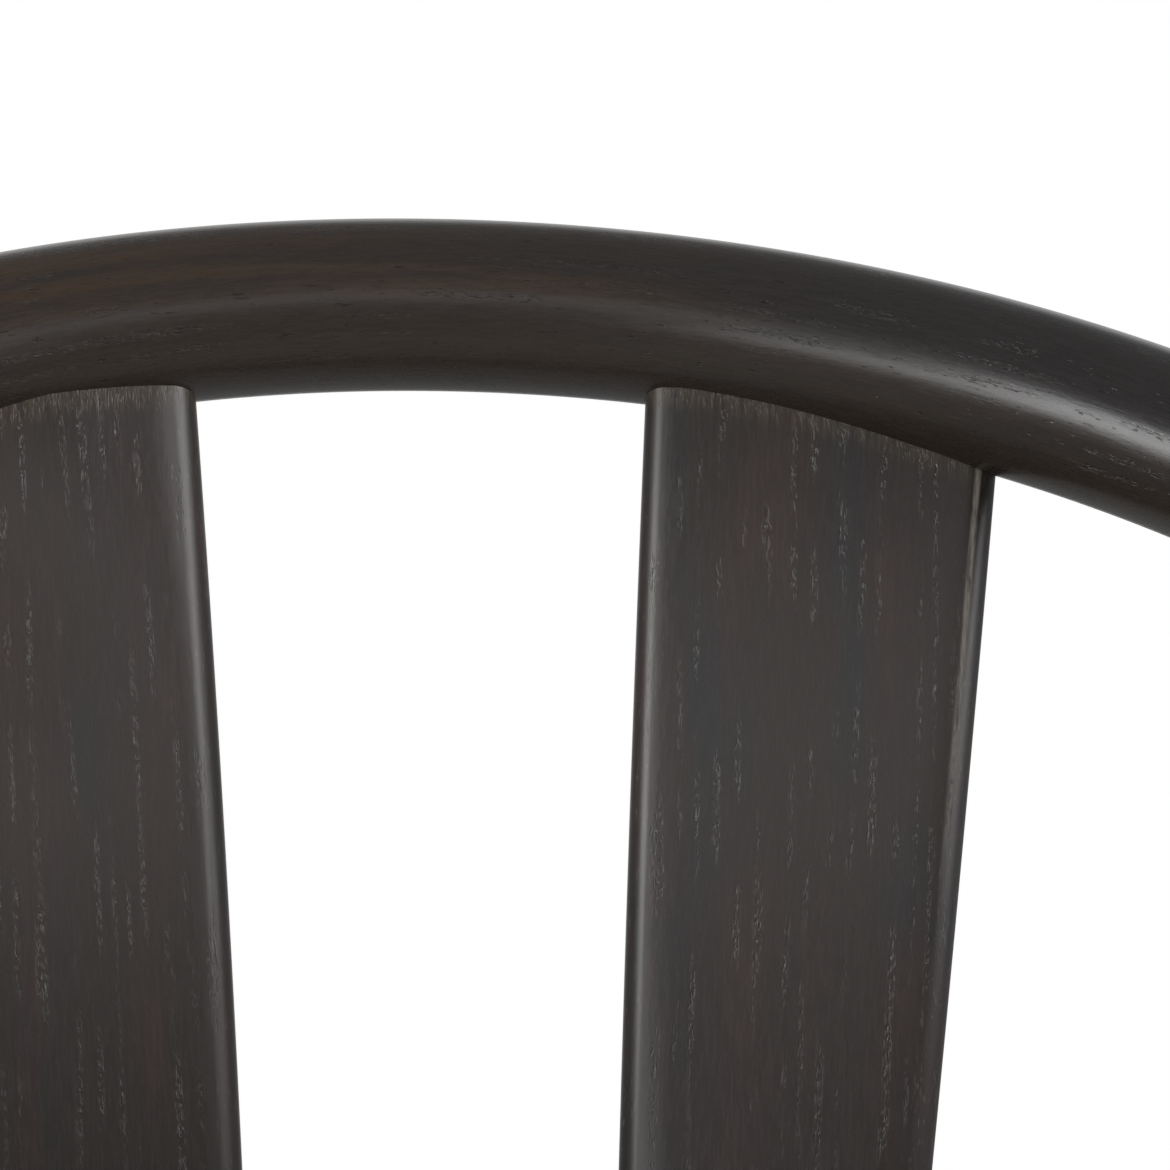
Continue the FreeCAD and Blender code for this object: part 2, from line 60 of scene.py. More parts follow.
SLAT_RECLINE = math.radians(17.3)
SLAT_BEND_RADIUS = 2.5
SLAT_HIDDEN_TOP = 0.004
SLAT_HIDDEN_FOOT = 0.004
SLAT_TURN_START = 0.085
SLAT_TURN_END = 0.014
SLAT_TURN_WIDTH = 0.032
SLAT_TURN_INSET = 0.002
LEFT_SLAT_TURN = 0.0036
LEG_SEAT_RADIUS = 0.019
LEG_FOOT_RADIUS = 0.012
LEG_SWELL = 0.002
LEG_COLLAR = 0.014
LEG_FOOT_EASE = 0.0012
REAR_LEG_TOP_RADIUS = 0.0135
REAR_LEG_HOOP_ANGLE = math.radians(70.0)
REAR_LEG_SPREAD = 0.216
FRONT_LEG_SPREAD = 0.214
FRONT_LEG_SETBACK = 0.031
FRONT_SPLAY_OUT = 0.010
FRONT_SPLAY_AHEAD = 0.012
GLIDE_HEIGHT = 0.004
SEAT_RAIL_HEIGHT = 0.060
PAD_HALF_FRONT = 0.241
PAD_HALF_BACK = 0.235
PAD_FRONT_CORNER = 0.060
PAD_BACK_CORNER = 0.070
PAD_SIDE_HEIGHT = 0.041
PAD_CROWN = 0.006
PAD_SHOULDER = 0.013
PAD_DRAW = 0.007
PAD_START_INSET = 0.001
PAD_SWELL_CAP = 0.006
PAD_HELD_HEIGHT = 0.003
PAD_PRESSURE = 4.0
WELT_HEIGHT = 0.034
WELT_RADIUS = 0.0028
WELT_PROUD = 0.35
DUST_CLOTH_GAP = 0.0003

# Places read from the frame
rail_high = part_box("crest_rail")[1]
pad_low, pad_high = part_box("seat_cover")
SEAT_FRAME_TOP = pad_low.z
RAIL_BACK = Vector((0.0, rail_high.y - RAIL_RADIUS, rail_high.z - RAIL_RADIUS))
HOOP_CENTRE = RAIL_BACK - Vector((0, math.cos(HOOP_TILT), math.sin(HOOP_TILT))) * HOOP_RADIUS


def hoop_point(turn):
    """Point on the hoop rail's middle line at an angle from its back."""
    drop = HOOP_RADIUS * (1.0 - math.cos(turn))
    aside = HOOP_RADIUS * math.sin(turn)
    return RAIL_BACK + Vector((aside, -drop * math.cos(HOOP_TILT), -drop * math.sin(HOOP_TILT)))


# Mesh fineness
RAIL_SIDES = 112
RAIL_STEPS = 120
ARM_STEPS = 16
END_STEPS = 10
SLAT_ROWS = 90
SLAT_EDGE_SEGMENTS = 12
SLAT_EASE_COLUMNS = 8
SLAT_MIDDLE_COLUMNS = 4
LEG_SIDES = 72
LEG_STEPS = 24
LEG_EASE_SEGMENTS = 3
PAD_VOXEL = 0.005
PAD_CORNER_SEGMENTS = 14
PAD_EDGE_SEGMENTS = 6
PAD_OUTLINE_STEP = 0.006
SWELL_FRAMES = 20
SWELL_QUALITY = 5
WELT_RESOLUTION = 4
FLOOR_SIDES = 128
SMOOTH_ANGLE = 40
FRAME_SMOOTH_ANGLE = 30
MERGE_DISTANCE = 1e-6
OUT_OF_REACH = 1.0

# Starts of the grain along each timber, so that no two pieces share a figure
SLAT_GRAIN = 3.0
REAR_LEG_GRAIN = 6.0
FRONT_LEG_GRAIN = 9.0
FRAME_GRAIN = 12.0
FRAME_GRAIN_STEP = 5.0
CLEAT_GRAIN = 16.0


def clamp(value):
    """Value kept between 0 and 1."""
    return min(1.0, max(0.0, value))


def new_object(name, bm):
    """Object at the origin that holds a finished bmesh."""
    mesh = bpy.data.meshes.new(name)
    bm.to_mesh(mesh)
    bm.free()
    piece = bpy.data.objects.new(name, mesh)
    bpy.context.scene.collection.objects.link(piece)
    return piece


def all_of(bm):
    """Everything in a bmesh, for operators that take mixed geometry."""
    return bm.verts[:] + bm.edges[:] + bm.faces[:]


def edges_in(geometry):
    """The edges among what a bmesh operator gives back."""
    return [part for part in geometry if isinstance(part, bmesh.types.BMEdge)]


def edges_along(bm, axis, length):
    """Edges that run along one axis by at least a length."""
    return [edge for edge in bm.edges if abs(edge.verts[0].co[axis] - edge.verts[1].co[axis]) > length]


def round_edges(bm, edges, offset, segments):
    """Rounds edges over."""
    bmesh.ops.bevel(bm, geom=edges, offset=offset, offset_type="OFFSET", affect="EDGES", segments=segments,
                    profile=0.5, material=-1)


def shade_smooth(piece, sharp_angle):
    """Smooth shading, apart from edges sharper than an angle in degrees."""
    piece.data.shade_smooth()
    piece.data.set_sharp_from_angle(angle=math.radians(sharp_angle))


def keep_flats_flat(piece):
    """Weights the normals by face area, so that flat faces beside round edges stay flat."""
    weights = piece.modifiers.new("flat faces", "WEIGHTED_NORMAL")
    weights.keep_sharp = True


def store_vectors(piece, name, vector_of):
    """Keeps a vector for each of a piece's points, worked out from where the point lies."""
    vectors = [part for vertex in piece.data.vertices for part in vector_of(vertex.co)]
    piece.data.attributes.new(name, "FLOAT_VECTOR", "POINT").data.foreach_set("vector", vectors)


def store_grain(piece, grain_of):
    """Keeps each point's place in the straightened timber: along the grain, then across it twice."""
    store_vectors(piece, "grain", grain_of)


def finish_piece(piece, slot, material, *stands_for):
    """Gives a piece its finish, the CAD nodes that it stands for, and its place on the chair's one body."""
    piece.data.materials.clear()
    piece.data.materials.append(material)
    if stands_for:
        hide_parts(*stands_for)
    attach(piece, "root")


# Stained wood

PORE_LIGHT = (0.115, 0.108, 0.102, 1.0)
# Near-black of dark pores, of painted shade and pore shadows, and of the darker lower wood
DARK_PORE_AND_SHADE = (0.004, 0.0035, 0.003, 1.0)
PORE_ROW_SPACING = 0.0043
PORE_ROW_DRIFT = 3.0
PORE_DEPTH = 0.00012
PORE_RELIEF = 0.5
FIBRE_DEPTH = 0.00005
FIBRE_DARKEST = 0.89
FIBRE_CONTRAST = 0.22
FIBRE_HARSHNESS = 0.65
ROUGHNESS_SPREAD = 0.10
RUBBED_STAIN = (0.058, 0.042, 0.024, 1.0)
RUBBED_PORES = 0.6
# Painted shade beside the rail, then darkening towards the seat and the heights over which it comes in
PAINTED_SHADE_BESIDE_RAIL = 0.2
LOWER_DARKENING = 0.24
LOWER_DARKENING_ZONE = (0.600, 0.690)
EDGE_WEAR = 0.45
EDGE_ROUGHER = 0.12
# Painted highlight along the slats' outer edges under the rail: its colour, place, width and fade with
# height
ARRIS_HIGHLIGHT_PAINT = (0.215, 0.195, 0.172, 1.0)
ARRIS_PLACE = 0.0037
ARRIS_HALF_WIDTH = 0.0009
ARRIS_CORE = 0.2
ARRIS_FADE = (-0.110, -0.030)
ORIGIN = (0.0, 0.0, 0.0)

# Fineness of each pattern in the wood, per metre along the grain and twice across it
FIBRE_SCALE = (160.0, 1300.0, 1300.0)
OPEN_GRAIN_SCALE = (42.0, 150.0, 150.0)
ROW_DRIFT_SCALE = (5.0, 55.0, 55.0)
FLECK_SCALE = (640.0, 3300.0, 3300.0)
DEEP_PORE_SCALE = (260.0, 1500.0, 1500.0)
EDGE_WEAR_SCALE = (420.0, 1900.0, 1900.0)

# Places in the noise, so that no two patterns coincide
COOL_PLACE = (3.1, 0.7, 5.2)
OPEN_GRAIN_PLACE = (0.3, 4.1, 2.2)
ROW_DRIFT_PLACE = (1.7, 2.9, 0.4)
SHADOW_PLACE = (0.0, 0.8, 0.0)
DEEP_PORE_PLACE = (0.9, 3.3, 1.1)
EDGE_WEAR_PLACE = (2.4, 0.6, 1.5)

# Ranges of noise, or of distance in metres, over which each pattern comes in
WARM_RANGE = (0.47, 0.70)
COOL_RANGE = (0.50, 0.72)
FIBRE_RANGE = (0.30, 0.70)
RUBBED_FIBRES = (0.25, 0.70)
ARRIS_FIBRES = (0.25, 0.60)
OPEN_GRAIN_RANGE = (0.46, 0.64)
ROW_RANGE = (0.06, 0.24)
FLECK_RANGE = (0.58, 0.68)
SHADOW_RANGE = (0.56, 0.65)
DEEP_PORE_RANGE = (0.70, 0.74)
EDGE_WEAR_RANGE = (0.62, 0.74)
PAINTED_SHADE_GAP = (0.004, 0.036)
RUBBED_GAP = (0.0006, 0.0050)


class Nodes:
    """Short way to add nodes to a material or a world and join them."""

    def __init__(self, owner):
        owner.use_nodes = True
        self.owner = owner
        self.tree = owner.node_tree

    def feed(self, node, inputs):
        """Sets a node's inputs to values, or joins them to the outputs of other nodes."""
        for key, value in inputs.items():
            if isinstance(value, bpy.types.NodeSocket):
                self.tree.links.new(value, node.inputs[key])
            else:
                node.inputs[key].default_value = value

    def add(self, kind, output, inputs, **settings):
        """Adds a node and gives one of its outputs."""
        node = self.tree.nodes.new(kind)
        for key, value in settings.items():
            setattr(node, key, value)
        self.feed(node, inputs)
        return node.outputs[output]

    def surface(self, inputs):
        """Feeds the material's shader and gives the finished material."""
        self.feed(self.tree.nodes["Principled BSDF"], inputs)
        return self.owner

    def attribute(self, name, output="Vector"):
        return self.add("ShaderNodeAttribute", output, {}, attribute_name=name)

    def coordinates(self, output="Object"):
        return self.add("ShaderNodeTexCoord", output, {})

    def stretched(self, source, scale, place=ORIGIN):
        """Coordinates stretched by a scale and moved to a place."""
        inputs = {"Vector": source, "Scale": scale, "Location": place}
        return self.add("ShaderNodeMapping", "Vector", inputs)

    def grain(self, scale, place=ORIGIN):
        """The straightened timber's coordinates, stretched by a scale."""
        return self.stretched(self.attribute("grain"), scale, place)

    def noise(self, vector, detail=2.0, distortion=0.0, roughness=0.5):
        inputs = {"Vector": vector, "Scale": 1.0, "Detail": detail, "Roughness": roughness,
                  "Distortion": distortion}
        return self.add("ShaderNodeTexNoise", "Fac", inputs)

    def ramp(self, value, low, high):
        """Value mapped smoothly from the range low to high onto 0 to 1."""
        inputs = {"Value": value, "From Min": low, "From Max": high}
        return self.add("ShaderNodeMapRange", "Result", inputs, interpolation_type="SMOOTHSTEP")

    def pattern(self, scale, limits, place=ORIGIN, detail=1.0):
        """Noise along the grain, mapped from its limits onto 0 to 1."""
        return self.ramp(self.noise(self.grain(scale, place), detail=detail), *limits)

    def math(self, operation, first, second=0.0, third=0.0):
        return self.add("ShaderNodeMath", "Value", {0: first, 1: second, 2: third}, operation=operation)

    def times(self, first, second):
        return self.math("MULTIPLY", first, second)

    def rest(self, value):
        """What is left of one after a value."""
        return self.math("SUBTRACT", 1.0, value)

    def line(self, value, slope, start):
        """Value times a slope, from a start."""
        return self.math("MULTIPLY_ADD", value, slope, start)

    def parts(self, vector):
        """A vector's numbers, by the names X, Y and Z."""
        return self.add("ShaderNodeSeparateXYZ", 0, {0: vector}).node.outputs

    def mix(self, factor, first, second):
        """Colour between two colours."""
        return self.add("ShaderNodeMix", 2, {0: factor, 6: first, 7: second}, data_type="RGBA")

    def choose(self, factor, first, second):
        """Number between two numbers."""
        return self.add("ShaderNodeMix", 0, {0: factor, 2: first, 3: second}, data_type="FLOAT")

    def bump(self, height, strength, distance, under=None):
        """Relief from a height, on top of another relief if there is one."""
        inputs = {"Height": height, "Strength": strength, "Distance": distance}
        if under is not None:
            inputs["Normal"] = under
        return self.add("ShaderNodeBump", "Normal", inputs)


def new_paint(name):
    """Nodes of a new material."""
    return Nodes(bpy.data.materials.new(name))


def hypotenuse(wood, first, second):
    """Long side of a right-angled triangle over its two other sides."""
    squares = wood.math("ADD", wood.math("POWER", first, 2.0), wood.math("POWER", second, 2.0))
    return wood.math("SQRT", squares)


def gap_to_rail(wood):
    """Distance from the hoop rail's surface, for the rubbed finish and the painted shade beside its joints.
    """
    hoop = {"Vector": wood.coordinates(), "Location": HOOP_CENTRE, "Rotation": (HOOP_TILT, 0.0, 0.0)}
    place = wood.parts(wood.add("ShaderNodeMapping", "Vector", hoop, vector_type="TEXTURE"))
    out = wood.math("SUBTRACT", hypotenuse(wood, place["X"], place["Y"]), HOOP_RADIUS)
    return wood.math("SUBTRACT", hypotenuse(wood, out, place["Z"]), RAIL_RADIUS)


def pore_rows(wood, across):
    """Wavy rows along the grain in which the pores lie, a few millimetres apart."""
    drift = wood.noise(wood.grain(ROW_DRIFT_SCALE, ROW_DRIFT_PLACE), detail=1.0)
    row_way = [part / PORE_ROW_SPACING for part in across]
    place = wood.add("ShaderNodeVectorMath", "Value", {0: wood.attribute("grain"), 1: row_way},
                     operation="DOT_PRODUCT")
    row = wood.math("FRACT", wood.math("ADD", place, wood.times(drift, PORE_ROW_DRIFT)))
    off_row = wood.math("ABSOLUTE", wood.math("SUBTRACT", row, 0.5))
    return wood.rest(wood.ramp(off_row, *ROW_RANGE))


def painted_arris_highlight(wood):
    """Thin line of painted highlight along a slat's outer edge, under the rail."""
    place = wood.parts(wood.attribute("arris"))
    off_line = wood.math("ABSOLUTE", wood.math("SUBTRACT", place["X"], ARRIS_PLACE))
    line = wood.rest(wood.ramp(off_line, ARRIS_HALF_WIDTH * ARRIS_CORE, ARRIS_HALF_WIDTH))
    return wood.times(line, place["Y"])


def stain_clouds(wood, finish, fibres):
    """Colour of the stain: warm and cool clouds, lighter and darker along the fibres; on the rail also a
    cool painted sheen on its upper face towards one end.
    """
    place = wood.parts(wood.attribute("grain"))
    upper = wood.ramp(place["Z"], *finish.upper_zone)
    warm_noise = wood.noise(wood.grain(finish.clouds), detail=3.0, distortion=0.3)
    warm_clouds = wood.times(wood.ramp(warm_noise, *WARM_RANGE), upper)
    cool_clouds = wood.pattern(finish.clouds, COOL_RANGE, COOL_PLACE, detail=3.0)
    if finish.warm_side is not None:
        warm_clouds = wood.times(warm_clouds, wood.ramp(place["X"], *finish.warm_side))
    if finish.cool_side is not None:
        # Painted sheen: a cooler tint on the rail's upper face towards one end
        painted_sheen_end = wood.times(wood.ramp(place["X"], *finish.cool_side), upper)
        cool_clouds = wood.math("MAXIMUM", cool_clouds, painted_sheen_end)
    colour = wood.mix(cool_clouds, wood.mix(warm_clouds, finish.stain, finish.warm), finish.cool)
    shade = wood.line(wood.ramp(fibres, *FIBRE_RANGE), FIBRE_CONTRAST, FIBRE_DARKEST)
    return wood.add("ShaderNodeVectorMath", "Vector", {0: colour, "Scale": shade}, operation="SCALE")


def darken_low_and_shade_by_rail(wood, colour, gap):
    """Colour made darker towards the seat, and painted shade beside the rail."""
    height = wood.parts(wood.coordinates())["Z"]
    # Colour made darker below the zone's heights, towards the seat
    lower = wood.rest(wood.ramp(height, *LOWER_DARKENING_ZONE))
    colour = wood.mix(wood.times(lower, LOWER_DARKENING), colour, DARK_PORE_AND_SHADE)
    # Painted shade: darker within a few centimetres of the rail
    shade_beside_rail = wood.rest(wood.ramp(gap, *PAINTED_SHADE_GAP))
    return wood.mix(wood.times(shade_beside_rail, PAINTED_SHADE_BESIDE_RAIL), colour, DARK_PORE_AND_SHADE)


def stained_wood(name, finish):
    """Dark stain over open-grained wood: cloudy colour, and short pores in rows along the grain."""
    wood = new_paint(name)
    fibres = wood.noise(wood.grain(FIBRE_SCALE), detail=3.0, roughness=FIBRE_HARSHNESS)
    colour = stain_clouds(wood, finish, fibres)
    open_grain = wood.pattern(OPEN_GRAIN_SCALE, OPEN_GRAIN_RANGE, OPEN_GRAIN_PLACE)
    rows = wood.times(pore_rows(wood, finish.across), open_grain)

    if finish.rubbed > 0.0:
        gap = gap_to_rail(wood)
        colour = darken_low_and_shade_by_rail(wood, colour, gap)
        beside = wood.times(wood.rest(wood.ramp(gap, *RUBBED_GAP)), wood.ramp(fibres, *RUBBED_FIBRES))
        colour = wood.mix(wood.times(beside, finish.rubbed), colour, RUBBED_STAIN)
        rows = wood.math("MAXIMUM", rows, wood.times(beside, RUBBED_PORES))

    edge = wood.attribute("edge", "Fac")
    worn = wood.pattern(EDGE_WEAR_SCALE, EDGE_WEAR_RANGE, EDGE_WEAR_PLACE, detail=2.0)
    colour = wood.mix(wood.times(wood.times(worn, edge), EDGE_WEAR), colour, PORE_LIGHT)
    # Painted highlight: a light line along each slat's outer edge, under the rail
    colour = wood.mix(wood.times(painted_arris_highlight(wood), wood.ramp(fibres, *ARRIS_FIBRES)), colour, ARRIS_HIGHLIGHT_PAINT)

    # Dark pores, and a painted shadow beside each light fleck: the flecks' own noise moved across by
    # SHADOW_PLACE
    pore_and_shadow_mask = wood.times(rows, wood.pattern(FLECK_SCALE, SHADOW_RANGE, SHADOW_PLACE))
    if finish.deep_pores > 0.0:
        deep = wood.pattern(DEEP_PORE_SCALE, DEEP_PORE_RANGE, DEEP_PORE_PLACE)
        pore_and_shadow_mask = wood.math("MAXIMUM", pore_and_shadow_mask, wood.times(deep, finish.deep_pores))
    light_mask = wood.times(rows, wood.pattern(FLECK_SCALE, FLECK_RANGE))
    colour = wood.mix(wood.times(pore_and_shadow_mask, finish.dark_pores), colour, DARK_PORE_AND_SHADE)
    colour = wood.mix(wood.times(light_mask, finish.light_pores), colour, PORE_LIGHT)

    rough = wood.line(fibres, ROUGHNESS_SPREAD, finish.roughness - ROUGHNESS_SPREAD / 2)
    rough = wood.math("ADD", rough, wood.times(edge, EDGE_ROUGHER))
    fine = wood.bump(fibres, finish.relief, FIBRE_DEPTH)
    sunk = wood.bump(wood.rest(pore_and_shadow_mask), PORE_RELIEF, PORE_DEPTH, fine)
    return wood.surface({"Base Color": colour, "Roughness": rough, "Specular IOR Level": finish.gloss,
                         "Normal": sunk})


# Finishes of the bent rail and of the straight timbers. Warm clouds, and the rail's cool painted sheen at
# one end, come in over upper_zone across the grain; warm_side and cool_side say where they come in along it
RAIL_FINISH = SimpleNamespace(
    stain=(0.0185, 0.0137, 0.0108, 1.0),
    warm=(0.0300, 0.0185, 0.0112, 1.0),
    cool=(0.0150, 0.0136, 0.0132, 1.0),
    clouds=(8.0, 120.0, 120.0),
    upper_zone=(0.004, 0.012),
    warm_side=(0.15, 0.03),
    cool_side=(-0.06, 0.14),
    across=(0.0, 0.35, 1.0),
    light_pores=0.16,
    dark_pores=0.7,
    deep_pores=1.0,
    rubbed=0.0,
    relief=0.5,
    roughness=0.275,
    gloss=0.41)
BOARD_FINISH = SimpleNamespace(
    stain=(0.0222, 0.0175, 0.0157, 1.0),
    warm=(0.0274, 0.0185, 0.0166, 1.0),
    cool=(0.0188, 0.0180, 0.0179, 1.0),
    clouds=(16.0, 85.0, 85.0),
    upper_zone=(-1.0, -0.9),
    warm_side=None,
    cool_side=None,
    across=(0.0, 1.0, 0.35),
    light_pores=0.52,
    dark_pores=0.9,
    deep_pores=0.0,
    rubbed=0.5,
    relief=0.15,
    roughness=0.27,
    gloss=0.38)
RAIL_WOOD = stained_wood("stained wood of the rail", RAIL_FINISH)
WOOD = stained_wood("stained wood", BOARD_FINISH)


# Hoop rail

def straighten_rail(place):
    """Grain of the bent bar: arc length, distance from the hoop's axis line, and height over its plane."""
    side = math.copysign(1.0, place.x)
    angle = math.atan2(abs(place.x), place.y)
    if angle <= HOOP_HALF_ANGLE:
        return side * HOOP_RADIUS * angle, place.xy.length - HOOP_RADIUS, place.z
    ahead = Vector((math.cos(HOOP_HALF_ANGLE), -math.sin(HOOP_HALF_ANGLE)))
    out = Vector((math.sin(HOOP_HALF_ANGLE), math.cos(HOOP_HALF_ANGLE)))
    flat = Vector((abs(place.x), place.y))
    along = HOOP_RADIUS * HOOP_HALF_ANGLE + flat.dot(ahead)
    return side * along, flat.dot(out) - HOOP_RADIUS, place.z


def extrude_ring(bm, ring):
    """Extrudes a ring of edges and gives the new ring with its points."""
    made = bmesh.ops.extrude_edge_only(bm, edges=ring)["geom"]
    points = [part for part in made if isinstance(part, bmesh.types.BMVert)]
    ends = set(points)
    return [edge for edge in edges_in(made) if ends.issuperset(edge.verts)], points


def make_rail():
    """Round bar spun along the hoop, run on into a straight arm, rounded at its end, and mirrored."""
    bm = bmesh.new()
    ring = bmesh.ops.create_circle(bm, segments=RAIL_SIDES, radius=RAIL_RADIUS)["verts"]
    bmesh.ops.rotate(bm, verts=ring, cent=(0, 0, 0), matrix=Matrix.Rotation(math.pi / 2, 3, "Y"))
    bmesh.ops.translate(bm, verts=ring, vec=(0, HOOP_RADIUS, 0))
    spun = bmesh.ops.spin(bm, geom=bm.verts[:] + bm.edges[:], cent=(0, 0, 0), axis=(0, 0, 1),
                          angle=-HOOP_HALF_ANGLE, steps=RAIL_STEPS)["geom_last"]
    edges = edges_in(spun)
    ahead = Vector((math.cos(HOOP_HALF_ANGLE), -math.sin(HOOP_HALF_ANGLE), 0.0))
    for _ in range(ARM_STEPS):
        edges, points = extrude_ring(bm, edges)
        bmesh.ops.translate(bm, verts=points, vec=ahead * ((ARM_LENGTH - ARM_END_ROUND) / ARM_STEPS))
    reach, radius = 0.0, RAIL_RADIUS
    for step in range(1, END_STEPS + 1):
        turn = math.pi / 2 * step / END_STEPS
        new_reach = ARM_END_ROUND * math.sin(turn)
        new_radius = RAIL_RADIUS - ARM_END_ROUND * (1.0 - math.cos(turn))
        edges, points = extrude_ring(bm, edges)
        bmesh.ops.translate(bm, verts=points, vec=ahead * (new_reach - reach))
        middle = sum((point.co for point in points), Vector()) / len(points)
        bmesh.ops.scale(bm, verts=points, vec=(new_radius / radius,) * 3, space=Matrix.Translation(-middle))
        reach, radius = new_reach, new_radius
    bmesh.ops.edgenet_fill(bm, edges=edges)
    bmesh.ops.mirror(bm, geom=all_of(bm), merge_dist=MERGE_DISTANCE, axis="X")
    bmesh.ops.recalc_face_normals(bm, faces=bm.faces)
    piece = new_object("hoop_rail", bm)
    store_grain(piece, straighten_rail)
    piece.data.transform(Matrix.Translation(HOOP_CENTRE) @ Matrix.Rotation(HOOP_TILT, 4, "X"))
    shade_smooth(piece, SMOOTH_ANGLE)
    finish_piece(piece, "stained_wood", RAIL_WOOD, "crest_rail")


make_rail()


# Back slats

SLAT_ROOT = hoop_point(math.asin(SLAT_PLACE / HOOP_RADIUS))
SLAT_HEIGHT = SLAT_ROOT.z - SEAT_FRAME_TOP

# Each slat starts as a cube of one metre, with columns of points from its eased edges to its middle
CUBE_HALF = 0.5
CUBE_NEAR_SIDE = 0.499
FIRST_COLUMN = 1.05
EDGE_START = 1.5


def slat_half_width(height):
    """Half the slat's width at a height over its root, which is below zero."""
    share = -height / SLAT_HEIGHT
    half = (SLAT_TOP_WIDTH * (1.0 - share) + SLAT_BOTTOM_WIDTH * share) / 2
    return half + SLAT_EDGE_BOW * 4.0 * share * (1.0 - share)


class SlatEdge:
    """One long edge of a slat: the face falls away gently, then turns over a round."""

    def __init__(self, radius, fall, ease, trim):
        self.fall = fall
        self.trim = trim
        self.ease = ease
        self.offset = radius * math.tan((math.pi / 2 - fall) / 2)
        self.arc = ease / math.sin(fall)

    def columns(self):
        """Distances from the edge at which the face gets a column of points."""
        shares = [step / SLAT_EASE_COLUMNS for step in range(1, SLAT_EASE_COLUMNS + 1)]
        return [0.0, self.offset * FIRST_COLUMN] + [self.offset + self.ease * share for share in shares]

    def depth(self, distance):
        """How far the face has fallen at a distance from the edge."""
        if distance >= self.offset + self.ease:
            return 0.0
        if distance >= self.offset:
            return self.arc - math.sqrt(self.arc ** 2 - (self.offset + self.ease - distance) ** 2)
        return self.arc * (1.0 - math.cos(self.fall)) + (self.offset - distance) * math.tan(self.fall)


RIGHT_SLAT_INNER = SlatEdge(radius=0.0045, fall=math.radians(10.0), ease=0.0066, trim=0.0001)
LEFT_SLAT_INNER = SlatEdge(radius=0.0070, fall=math.radians(9.0), ease=0.0072, trim=0.0)
SLAT_OUTER = SlatEdge(radius=0.0072, fall=math.radians(8.0), ease=0.0055, trim=-0.0002)


def slat_column(column, half, inner_edge, outer_edge):
    """Place across the slat and fall of its faces at a column of points."""
    inner, outer = inner_edge.columns(), outer_edge.columns()
    inner_side, outer_side = inner_edge.trim - half, half - outer_edge.trim
    if column < len(inner):
        return inner_side + inner[column], inner_edge.depth(inner[column])
    after = column - len(inner) - SLAT_MIDDLE_COLUMNS
    if after >= 0:
        distance = outer[len(outer) - 1 - after]
        return outer_side - distance, outer_edge.depth(distance)
    share = (column - len(inner) + 1) / (SLAT_MIDDLE_COLUMNS + 1)
    return (inner_side + inner[-1]) * (1.0 - share) + (outer_side - outer[-1]) * share, 0.0


def bend_slat(place):
    """Moves a point of the straight slat onto its bent middle surface."""
    angle = math.asin(math.sin(SLAT_RECLINE) + place.z / SLAT_BEND_RADIUS)
    ahead = SLAT_BEND_RADIUS * (math.cos(angle) - math.cos(SLAT_RECLINE))
    normal = Vector((0.0, -math.cos(angle), math.sin(angle)))
    lean = place.z * math.tan(SLAT_LEAN)
    return Vector((place.x + lean, -ahead, place.z)) - normal * place.y


def edge_share(place, inner_edge, outer_edge):
    """How near a point of the straight slat is to its rounded long edges, from 0 on the faces to 1."""
    half = slat_half_width(place.z)
    inner = (place.x + half) / inner_edge.offset
    outer = (half - place.x) / outer_edge.offset
    return clamp(EDGE_START - min(inner, outer))


def arris_place(place):
    """A front point's distance from the slat's outer side, and how strongly the painted highlight shows at
    its height.
    """
    low, high = ARRIS_FADE
    share = clamp((place.z - low) / (high - low))
    behind = OUT_OF_REACH if place.y > 0.0 else 0.0
    return slat_half_width(place.z) - SLAT_OUTER.trim - place.x + behind, share, 0.0


def turned_head(place, turn):
    """How far the slat's head is turned forward at a point, more towards its outer edge and the rail."""
    reach = clamp((place.z + SLAT_TURN_START) / (SLAT_TURN_START - SLAT_TURN_END))
    inner = -slat_half_width(place.z)
    share = clamp((place.x - inner - SLAT_TURN_INSET) / SLAT_TURN_WIDTH)
    share = share * share * (2.0 - share)
    return turn * share * reach * reach * (3.0 - 2.0 * reach)


